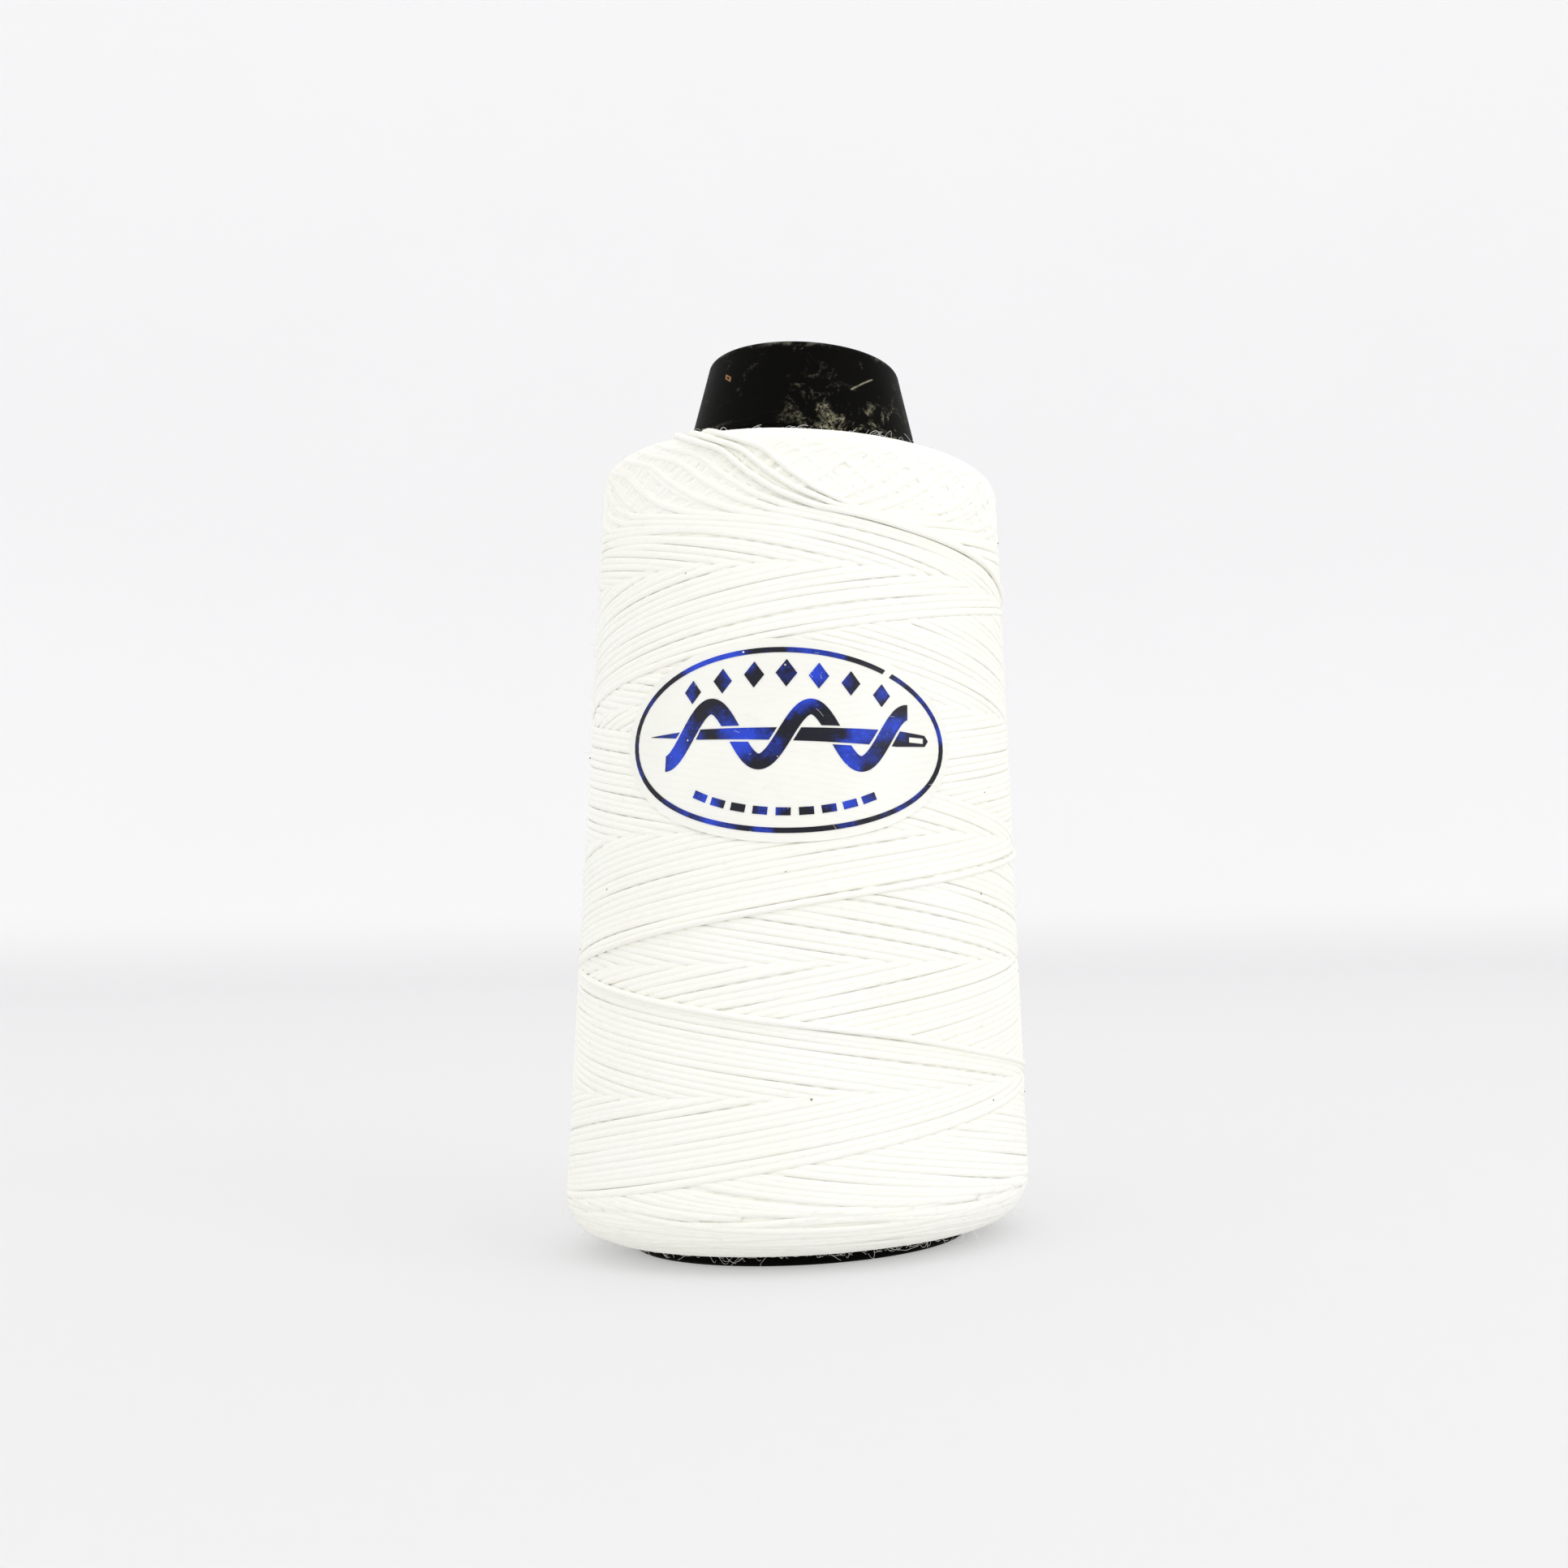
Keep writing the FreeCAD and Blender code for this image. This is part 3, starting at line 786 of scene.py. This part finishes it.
class FillCore(ConePiece):
    """Fill the package under the outer strands"""

    bl_idname = "cone.fill_core"
    bl_label = "Fill Core"

    def make(self, context):
        winding = Winding()
        sides, rings = 256, 220
        along = np.linspace(0, PACKAGE.length, rings)
        angle = turns_of(sides)
        depth = -(winding.thick + 0.8 * winding.relief)
        grid_along, grid_angle = np.meshgrid(along, angle, indexing="ij")
        places, _ = PACKAGE.points(grid_along.ravel(), grid_angle.ravel(), depth)
        radii, heights = node_rings("thread_package")
        inside_top = radii[heights > heights.max() - 1e-6].min()
        inside_foot = radii[heights < heights.min() + 1e-6].min()
        closing = []
        for radius, height in ((inside_top, heights.max() - 1.2 * MM),
                               (inside_foot, heights.min() + 0.4 * MM)):
            closing.append(np.stack([radius * np.cos(angle), radius * np.sin(angle),
                                     np.full(sides, height)], -1))
        places = np.concatenate([places] + closing)
        mesh = quad_mesh("winding_core", places, ring_quads(rings + len(closing), sides, joined=True))
        add_piece("winding_core", mesh, thread_core)


class LayProudStrands(ConePiece):
    """Lay the last strands, which stand proud of the package"""

    bl_idname = "cone.lay_proud_strands"
    bl_label = "Lay Proud Strands"

    def make(self, context):
        winding = Winding()
        radius = context.scene.cone_thread.free_radius
        self.lay("proud_strand_middle", "strand_middle", winding, radius, 2.0, 3.24)
        self.lay("proud_strand_low", "strand_low", winding, radius, 2.0, 0.56)
        self.lay_top(winding, radius)

    def add(self, name, node, routes, radius):
        mesh = strand_mesh(name, routes, radius)
        piece = add_piece(name, mesh, thread_cotton)
        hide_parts(node)

    def lay(self, name, node, winding, radius, first, last):
        """A strand from one row number to another, from the angle where the newest cross."""
        step = 0.8 * MM
        count = int(abs(last - first) * math.pi * 28 * MM / step)
        row = np.linspace(first, last, count)
        angle = winding.start + np.pi * np.abs(row - first)
        ease = np.minimum(1, np.linspace(0, 1, count) * 12) * np.minimum(1, np.linspace(1, 0, count) * 5)
        lift = radius * (np.linspace(1.35, 0.75, count) * ease - 1.0)
        random = np.random.default_rng(int(10 * last))
        wander = smoothed(random.normal(0, 1, count), 30 * MM / step) * 0.6 * MM
        self.add(name, node, [PACKAGE.points(winding.along(row) + wander, angle, lift)], radius)

    def lay_top(self, winding, radius):
        """The newest strands that fall from the nose, over the shoulder and down the flank."""
        random = np.random.default_rng(8)
        routes = []
        for late, end, proud in ((0.0, 1.08, 0.45), (5.5, 0.85, 0.25), (11.0, 0.74, 0.15)):
            away = np.linspace(0.02, end, int(end * 105))
            angle = winding.start + math.radians(late) + np.pi * away
            share = away / end
            ease = np.minimum(1, share * 8) * np.minimum(1, (1 - share) * 6)
            rise = smoothed(loop_rise(away), 3)
            wander = smoothed(random.normal(0, 1, len(away)), 25) * 0.4 * MM
            along = winding.along(winding.rows - away) + rise + wander
            along = np.minimum(along, PACKAGE.length - 0.7 * MM)
            stand = 1 + proud * (1 - 0.8 * share)
            routes.append(PACKAGE.points(along, angle, radius * (stand * ease - 1)))
        self.add("proud_strand_top", "strand_top", routes, radius)


class ScatterLint(ConePiece):
    """Scatter loose fibres and specks over the thread"""

    bl_idname = "cone.scatter_lint"
    bl_label = "Scatter Lint"

    def make(self, context):
        random = np.random.default_rng(3)
        routes = []
        spans = ((1.0 * MM, 12 * MM, 1300, 1.0), (12 * MM, PACKAGE.length - 9 * MM, 2600, 0.9),
                 (PACKAGE.length - 9 * MM, PACKAGE.length, 800, 1.0))
        for low, high, count, size in spans:
            for _ in range(count):
                routes.append(self.fibre(random, random.uniform(low, high), size))
        mesh = strand_mesh("thread_lint", routes, 0.014 * MM, sides=4)
        add_piece("thread_lint", mesh, thread_lint)
        self.nose_curls(random)
        self.specks(random)

    @staticmethod
    def nose_curls(random):
        """Curly fibres that stick up over the shoulder, in front of the nose."""
        routes = []
        for _ in range(640):
            angle = random.uniform(0, 2 * np.pi)
            size = random.gamma(3.0, 0.26) * MM
            share = np.linspace(0, 1, 12)
            bend = random.uniform(2.0, 5.5) * share + random.uniform(0, 6)
            sway = size * (0.9 * share * random.choice([-1, 1]) + 0.16 * np.sin(bend))
            lift = -0.2 * MM + random.uniform(0.3, 0.9) * size * np.sin(share * random.uniform(1.6, 2.9))
            along = PACKAGE.length - random.uniform(0.3, 7.5) * MM + 0.12 * size * np.sin(1.7 * bend)
            along = np.clip(along, 0, PACKAGE.length - 0.03 * MM)
            ring = np.interp(along, PACKAGE.steps, PACKAGE.radius)
            routes.append(PACKAGE.points(along, angle + sway / ring, lift))
        mesh = strand_mesh("nose_lint", routes, 0.024 * MM, sides=4)
        add_piece("nose_lint", mesh, thread_lint)

    @staticmethod
    def fibre(random, along, scale):
        """One curled fibre, rooted in the thread."""
        angle = random.uniform(0, 2 * np.pi)
        size = random.gamma(2.2, 0.42) * scale * MM
        share = np.linspace(0, 1, 5)
        lean = random.uniform(0.05, 0.75) * size
        curl = random.normal(0, 0.5, 2)
        lift = -0.15 * MM + lean * np.sin(share * random.uniform(1.2, 2.9))
        radius = np.interp(along, PACKAGE.steps, PACKAGE.radius)
        heading = random.normal(0, 0.7)
        sideways = size * share * np.cos(heading + curl[0] * share) * random.choice([-1, 1])
        upward = size * share * np.sin(heading + curl[1] * share)
        reach = np.clip(along + upward, 0, PACKAGE.length)
        places, out = PACKAGE.points(reach, angle + sideways / radius, lift)
        places[:, 2] = np.maximum(places[:, 2], 0.05 * MM)
        return places, out

    @staticmethod
    def specks(random):
        """A few crumbs of dirt, each a squashed ball of eight sides."""
        places, quads = [], []
        turns = turns_of(8)
        caps = np.array(CAPS[8])
        for number in range(26):
            along = random.uniform(6 * MM, PACKAGE.length - 6 * MM)
            centre, out = PACKAGE.points(np.array([along]), np.array([random.uniform(0, 2 * np.pi)]),
                                         -0.02 * MM)
            size = random.uniform(0.05, 0.13) * MM
            aside = unit(np.cross(out[0], (0.0, 0.0, 1.0)))
            up = np.cross(aside, out[0])
            rings = []
            for level, spread in ((-0.7, 0.4), (-0.2, 1.0), (0.3, 0.9), (0.8, 0.35)):
                uneven = spread * random.uniform(0.7, 1.3, 8)[:, None]
                rings.append(centre[0] + size * (level * out[0] + uneven * (
                    np.cos(turns)[:, None] * aside + np.sin(turns)[:, None] * up)))
            places += rings
            faces = np.concatenate([ring_quads(len(rings), 8), caps[:, ::-1],
                                    8 * (len(rings) - 1) + caps])
            quads.append(number * 8 * len(rings) + faces[:, ::-1])
        mesh = quad_mesh("dirt_specks", np.concatenate(places), np.concatenate(quads))
        add_piece("dirt_specks", mesh, dark_speck)


# ---- label ----

class Label:
    """The flat label's own coordinates, wrapped round the flank."""

    def __init__(self):
        options = bpy.context.scene.cone_label
        self.middle = (LABEL_LOW[2] + LABEL_HIGH[2]) / 2
        self.tall = (LABEL_HIGH[2] - LABEL_LOW[2]) / 2
        self.ring = float(np.interp(PACKAGE.at_height(self.middle), PACKAGE.steps, PACKAGE.radius))
        chord = (LABEL_HIGH[0] - LABEL_LOW[0]) / 2
        self.wide = self.ring * math.asin(chord / self.ring)
        self.margin = FILM_TOP - LABEL_HIGH[2]
        self.film = options.thickness
        self.foil = options.foil
        self.ripple = options.ripple
        self.tilt = options.tilt
        self.winding = Winding()

    def wrapped(self, across, up, lift):
        """Places on the cone for flat coordinates, a lift above the flank."""
        run = across * math.cos(self.tilt) + up * math.sin(self.tilt)
        rise = up * math.cos(self.tilt) - across * math.sin(self.tilt)
        angle = FRONT + run / self.ring
        along = PACKAGE.at_height(self.middle + rise)
        climbing, falling = self.winding.ages(angle, self.winding.row_at(along))
        newer = np.where(climbing > falling, climbing, falling)
        wave = self.ripple * (0.5 + 0.5 * np.cos(2 * np.pi * newer))
        places, _ = PACKAGE.points(along, angle, lift + wave)
        return places

    def slab(self, across, up, low, thick):
        """A closed slab over a grid of flat coordinates: places and four-sided faces."""
        rows, columns = across.shape
        under = self.wrapped(across.ravel(), up.ravel(), low)
        over = self.wrapped(across.ravel(), up.ravel(), low + thick)
        count = rows * columns
        index = np.arange(count).reshape(rows, columns)
        cell = np.stack([index[:-1, :-1], index[:-1, 1:], index[1:, 1:], index[1:, :-1]], -1).reshape(-1, 4)
        faces = [cell + count, cell[:, ::-1]]
        for edge, flip in ((index[0], 1), (index[-1], -1), (index[:, 0], -1), (index[:, -1], 1)):
            wall = np.stack([edge[:-1], edge[1:], edge[1:] + count, edge[:-1] + count], -1)
            faces.append(wall[:, ::flip])
        return np.concatenate([under, over]), np.concatenate(faces)

    def piece(self, name, grids, low, thick, maker, slot):
        """One piece of the label from several grids of flat coordinates."""
        places, quads, base = [], [], 0
        for across, up in grids:
            spots, faces = self.slab(across, up, low, thick)
            places.append(spots)
            quads.append(faces + base)
            base += len(spots)
        mesh = quad_mesh(name, np.concatenate(places), np.concatenate(quads), smooth=False)
        weld_turns(mesh)
        made = add_piece(name, mesh, maker)
        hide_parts(name.replace("printed", "label").replace("film_cover", "label_film"))
        return made


def weld_turns(mesh):
    """Joins vertices that a closed grid lays on each other, and faces all sides outwards."""
    work = bmesh.new()
    work.from_mesh(mesh)
    bmesh.ops.remove_doubles(work, verts=work.verts, dist=0.0005 * MM)
    bmesh.ops.recalc_face_normals(work, faces=work.faces)
    work.to_mesh(mesh)
    work.free()


def grid(across_of, up_of, columns, rows):
    """Flat coordinates over a grid, from two functions of the shares along and over it."""
    along, over = np.meshgrid(np.linspace(0, 1, columns), np.linspace(0, 1, rows), indexing="ij")
    return across_of(along, over), up_of(along, over)


# Where the border's foil is chipped away, as angles round the oval.
GAP_MIDDLE = math.radians(52.0)
GAP_HALF = math.radians(1.6)

# The motif, as shares of the label's half width and half height.
MOTIF_MIDDLE = 0.06
WAVE_SWING = 0.3
WAVE_STROKE = 0.17
WAVE_REACH = 0.74
WAVES = 2.5
NEAR_CROSSING = 0.09
CLEARANCE = 0.025
NEEDLE_LENGTH = 0.86
NEEDLE_HALF = 0.088
EYE_CENTRE = 0.8
EYE_SIZE = (0.1, 0.06)
LINES = 7


class Motif:
    """A needle, and a wave of thread that goes over and under it by turns."""

    def __init__(self, label):
        self.wide, self.tall = label.wide, label.tall
        self.reach = WAVE_REACH * self.wide
        self.middle = MOTIF_MIDDLE * self.tall
        self.stroke = WAVE_STROKE * self.tall
        self.clearance = CLEARANCE * self.tall
        self.end = NEEDLE_LENGTH * self.wide
        self.thick = NEEDLE_HALF * self.tall
        self.fine = np.linspace(0, 1, 2001)
        self.overs = np.linspace(0, 1, LINES)
        self.levels = np.linspace(-1, 1, LINES)

    def edge(self, over, width):
        """The wave's line at a share over its width, for every share of its length."""
        swing = WAVE_SWING * self.tall
        phase = np.pi * WAVES * (2 * self.fine - 1)
        slope = swing * np.cos(phase) * np.pi * WAVES / self.reach
        grow = width * (over - 0.5) / np.hypot(1, slope)
        return self.reach * (2 * self.fine - 1) - grow * slope, swing * np.sin(phase) + grow

    def half_at(self, across):
        """Half the needle's width at a place along it."""
        end, thick = self.end, self.thick
        return np.interp(across, (-end, -0.6 * end, 0.78 * end, end, end + 0.5 * thick),
                         (0.02 * thick, 0.62 * thick, thick, 0.7 * thick, 0.02 * thick))

    def crossing(self, number):
        """Share of the wave's length at a crossing, and which shares lie near it."""
        centre = (number / WAVES + 1) / 2
        return centre, np.abs(self.fine - centre) < NEAR_CROSSING

    def clear_shares(self, number, side):
        """Where each line of the wave comes clear of the needle, on one side of a crossing."""
        centre, near = self.crossing(number)
        part = near & ((self.fine - centre) * side >= 0)
        shares = []
        for over in self.overs:
            across, up = (line[part] for line in self.edge(over, self.stroke))
            clear = np.abs(up) - self.half_at(across) - self.clearance
            order = np.argsort(clear)
            shares.append(np.interp(0.0, clear[order], self.fine[part][order]))
        return np.array(shares)

    def wave(self):
        """Grids of the wave, cut where it goes under the needle."""
        under = (-1, 1)
        starts = [np.zeros(LINES)] + [self.clear_shares(number, 1) for number in under]
        ends = [self.clear_shares(number, -1) for number in under] + [np.ones(LINES)]
        lines = [self.edge(over, self.stroke) for over in self.overs]
        grids = []
        for start, end in zip(starts, ends):
            shares = (start + (end - start) * np.linspace(0, 1, 110)[:, None]).T
            across, up = (np.stack([np.interp(share, self.fine, line[axis])
                                    for share, line in zip(shares, lines)], 1) for axis in (0, 1))
            grids.append((across, self.middle + up))
        return grids

    def needle(self):
        """Grids of the needle, cut where it goes under the wave."""
        bounds = [np.full(LINES, -self.end)]
        for number in (-2, 0, 2):
            centre, near = self.crossing(number)
            height = self.levels * self.half_at(self.reach * (2 * centre - 1))
            for over in (1, 0):
                across, up = self.edge(over, self.stroke + 2 * self.clearance)
                bounds.append(np.interp(height, up[near], across[near]))
        bounds.append(np.full(LINES, self.end + 0.5 * self.thick))
        grids = []
        for first, last in zip(bounds[::2], bounds[1::2]):
            grids += self.stretch(first, last)
        return grids

    def stretch(self, first, last):
        """Grids of one stretch of needle, split round the eye where it has one."""
        eye = [(EYE_CENTRE + side * EYE_SIZE[0] / 2) * self.wide for side in (-1, 1)]
        if last.max() < eye[1]:
            return [self.blade(first, last, 60)]
        overlap = 0.01 * MM
        left, right = (np.full(LINES, place) for place in eye)
        across, up = self.blade(left, right, 24, EYE_SIZE[1] * self.tall / 2)
        return [self.blade(first, left + overlap, 24), (across, up), (across, 2 * self.middle - up),
                self.blade(right - overlap, last, 24)]

    def blade(self, start, end, columns, hole=None):
        """A grid over the needle's width, or over the part of it above a hole."""
        across = start + (end - start) * np.linspace(0, 1, columns)[:, None]
        half = self.half_at(across)
        if hole is None:
            return across, self.middle + self.levels * half
        return across, self.middle + hole + (half - hole) * self.overs


class PrintLabel(ConePiece):
    """Lay the film label and print its border and motif"""

    bl_idname = "cone.print_label"
    bl_label = "Print Label"

    def make(self, context):
        label = Label()
        self.lay_film(label)
        self.ink(label, "printed_border", self.border(label))
        motif = Motif(label)
        self.ink(label, "printed_wave", motif.wave())
        self.ink(label, "printed_needle", motif.needle())
        self.ink(label, "printed_diamonds", self.diamonds(label))
        self.ink(label, "printed_stitches", self.stitches(label))

    def lay_film(self, label):
        """The film: rings of an ellipse about a small middle patch."""
        wide, tall = label.wide + label.margin, label.tall + label.margin
        square = np.linspace(-1, 1, 90)
        first, second = np.meshgrid(square, square * 0.999, indexing="ij")
        across = wide * first * np.sqrt(1 - second ** 2 / 2)
        up = tall * second * np.sqrt(1 - first ** 2 / 2)
        label.piece("film_cover", [(across, up)], 0.0, label.film, label_film_cast, "film")

    @staticmethod
    def ink(label, name, grids):
        label.piece(name, grids, label.film, label.foil, label_foil, "foil")

    @staticmethod
    def border(label):
        """A ring of foil, chipped at the upper right."""
        line = bpy.context.scene.cone_label.line

        def turn(along):
            return GAP_MIDDLE + GAP_HALF + 2 * (np.pi - GAP_HALF) * along

        return [grid(lambda along, over: (label.wide - line * over) * np.cos(turn(along)),
                     lambda along, over: (label.tall - line * over) * np.sin(turn(along)), 420, 4)]

    @staticmethod
    def diamonds(label):
        """Seven diamonds in a bow under the border."""
        shapes = []
        for step in range(-3, 4):
            across = 0.19 * label.wide * step
            up = label.tall * (0.72 - 0.022 * step * step)
            half = 0.115 * label.tall * (1 - 0.05 * abs(step))
            shapes.append(grid(lambda a, o: across + half * (a - o),
                               lambda a, o: up + 1.3 * half * (a + o - 1), 8, 8))
        return shapes

    @staticmethod
    def stitches(label):
        """Nine dashes in a bow above the border's lower edge."""
        shapes = []
        arc_wide, arc_tall = 0.8 * label.wide, 0.77 * label.tall
        long_side, short_side = 0.085 * label.wide, 0.085 * label.tall
        for step in range(-4, 5):
            angle = math.radians(9.5 * step)
            middle = (arc_wide * math.sin(angle), -arc_tall * math.cos(angle))
            lean = math.atan2(arc_tall * math.sin(angle), arc_wide * math.cos(angle))
            cos, sin = math.cos(lean), math.sin(lean)
            shapes.append(grid(
                lambda a, o: middle[0] + (a - 0.5) * long_side * cos - (o - 0.5) * short_side * sin,
                lambda a, o: middle[1] + (a - 0.5) * long_side * sin + (o - 0.5) * short_side * cos, 9, 4))
        return shapes


class DressTube(ConePiece):
    """Give the moulded tube its plastic"""

    bl_idname = "cone.dress_tube"
    bl_label = "Dress Tube"

    def make(self, context):
        tube = NODES["cone_tube"]
        if not tube.material_slots:
            tube.data.materials.append(None)
        for slot in tube.material_slots:
            slot.material = material(tube_plastic)


# ---- studio ----

class SetStage(ConePiece):
    """Set the floor, the backdrop, the lights and the camera"""

    bl_idname = "cone.set_stage"
    bl_label = "Set Stage"

    def make(self, context):
        self.bowl()
        self.lights()
        self.camera(context)
        scene = context.scene
        scene.view_settings.view_transform = "Standard"
        scene.view_settings.exposure = 0.0

    def bowl(self):
        """A floor that sweeps up into a wide round backdrop."""
        sides = 96
        floor, sweep, wall = 1.6, 0.7, 2.6
        bend = np.linspace(0, np.pi / 2, 17)
        radius = np.concatenate([[0.001, 0.2, 0.6, 1.1], floor + sweep * np.sin(bend), [floor + sweep]])
        height = np.concatenate([[0, 0, 0, 0], sweep * (1 - np.cos(bend)), [wall]])
        turns = turns_of(sides)
        places = np.stack([radius[:, None] * np.cos(turns), radius[:, None] * np.sin(turns),
                           np.repeat(height[:, None], sides, 1)], -1).reshape(-1, 3)
        mesh = quad_mesh("floor", places, ring_quads(len(radius), sides))
        floor_piece = bpy.data.objects.new("floor", mesh)
        bpy.context.scene.collection.objects.link(floor_piece)
        mesh.materials.append(material(pale_floor))

    def lights(self):
        """A large soft key from the right, a fill from the left, and an even sky."""
        middle = Vector((0, 0, CAD_HIGH[2] / 2))
        for name, place, size, power in (
                ("key", (0.55, -0.46, 0.36), 0.55, 1.0),
                ("fill", (-0.55, -0.45, 0.16), 0.60, 0.35)):
            lamp = bpy.data.lights.new(name, "AREA")
            lamp.shape = "DISK"
            lamp.size = size
            lamp.energy = power
            holder = bpy.data.objects.new(name, lamp)
            bpy.context.scene.collection.objects.link(holder)
            holder.location = place
            holder.rotation_mode = "QUATERNION"
            holder.rotation_quaternion = (middle - Vector(place)).to_track_quat("-Z", "Y")
        world = bpy.data.worlds.new("studio")
        bpy.context.scene.world = world
        world.use_nodes = True
        sky = world.node_tree.nodes["Background"]
        sky.inputs["Color"].default_value = (1.0, 0.995, 0.985, 1.0)
        sky.inputs["Strength"].default_value = 1.27

    def camera(self, context):
        options = context.scene.cone_studio
        lens = bpy.data.cameras.new("camera")
        lens.sensor_width = 36.0
        lens.lens = options.lens
        lens.shift_x = options.shift
        lens.clip_start = 0.01
        lens.clip_end = 20.0
        holder = bpy.data.objects.new("camera", lens)
        context.scene.collection.objects.link(holder)
        stand = FRONT + options.around
        holder.location = (options.distance * math.cos(stand), options.distance * math.sin(stand),
                           options.eye)
        facing = options.around - options.turn
        turn = Matrix.Rotation(facing, 4, "Z")
        rise = Matrix.Rotation(math.pi / 2 + options.rise, 4, "X")
        roll = Matrix.Rotation(options.roll, 4, "Z")
        holder.rotation_mode = "QUATERNION"
        holder.rotation_quaternion = (turn @ rise @ roll).to_quaternion()
        context.scene.camera = holder


# ---- panel and registration ----

OPERATORS = (WindFlank, WindEnds, FillCore, LayProudStrands, ScatterLint, PrintLabel, DressTube,
             SetStage)


class ThreadConePanel(bpy.types.Panel):
    """Buttons for each piece of the cone"""

    bl_idname = "VIEW3D_PT_thread_cone"
    bl_label = "Thread Cone"
    bl_space_type = "VIEW_3D"
    bl_region_type = "UI"
    bl_category = "Thread Cone"

    def draw(self, context):
        column = self.layout.column(align=True)
        for operator in OPERATORS:
            column.operator(operator.bl_idname)
        for name in SETTING_NAMES:
            box = self.layout.box()
            group = getattr(context.scene, name)
            for key in group.bl_rna.properties.keys():
                if key not in ("rna_type", "name"):
                    box.prop(group, key)


def register():
    for group in SETTINGS + OPERATORS + (ThreadConePanel,):
        bpy.utils.register_class(group)
    for name, group in zip(SETTING_NAMES, SETTINGS):
        setattr(bpy.types.Scene, name, bpy.props.PointerProperty(type=group))


def unregister():
    for name in SETTING_NAMES:
        delattr(bpy.types.Scene, name)
    for group in reversed(SETTINGS + OPERATORS + (ThreadConePanel,)):
        bpy.utils.unregister_class(group)


def main():
    """Makes every piece in order."""
    register()
    for operator in OPERATORS:
        family, name = operator.bl_idname.split(".")
        getattr(getattr(bpy.ops, family), name)()


if __name__ == "__main__":
    main()
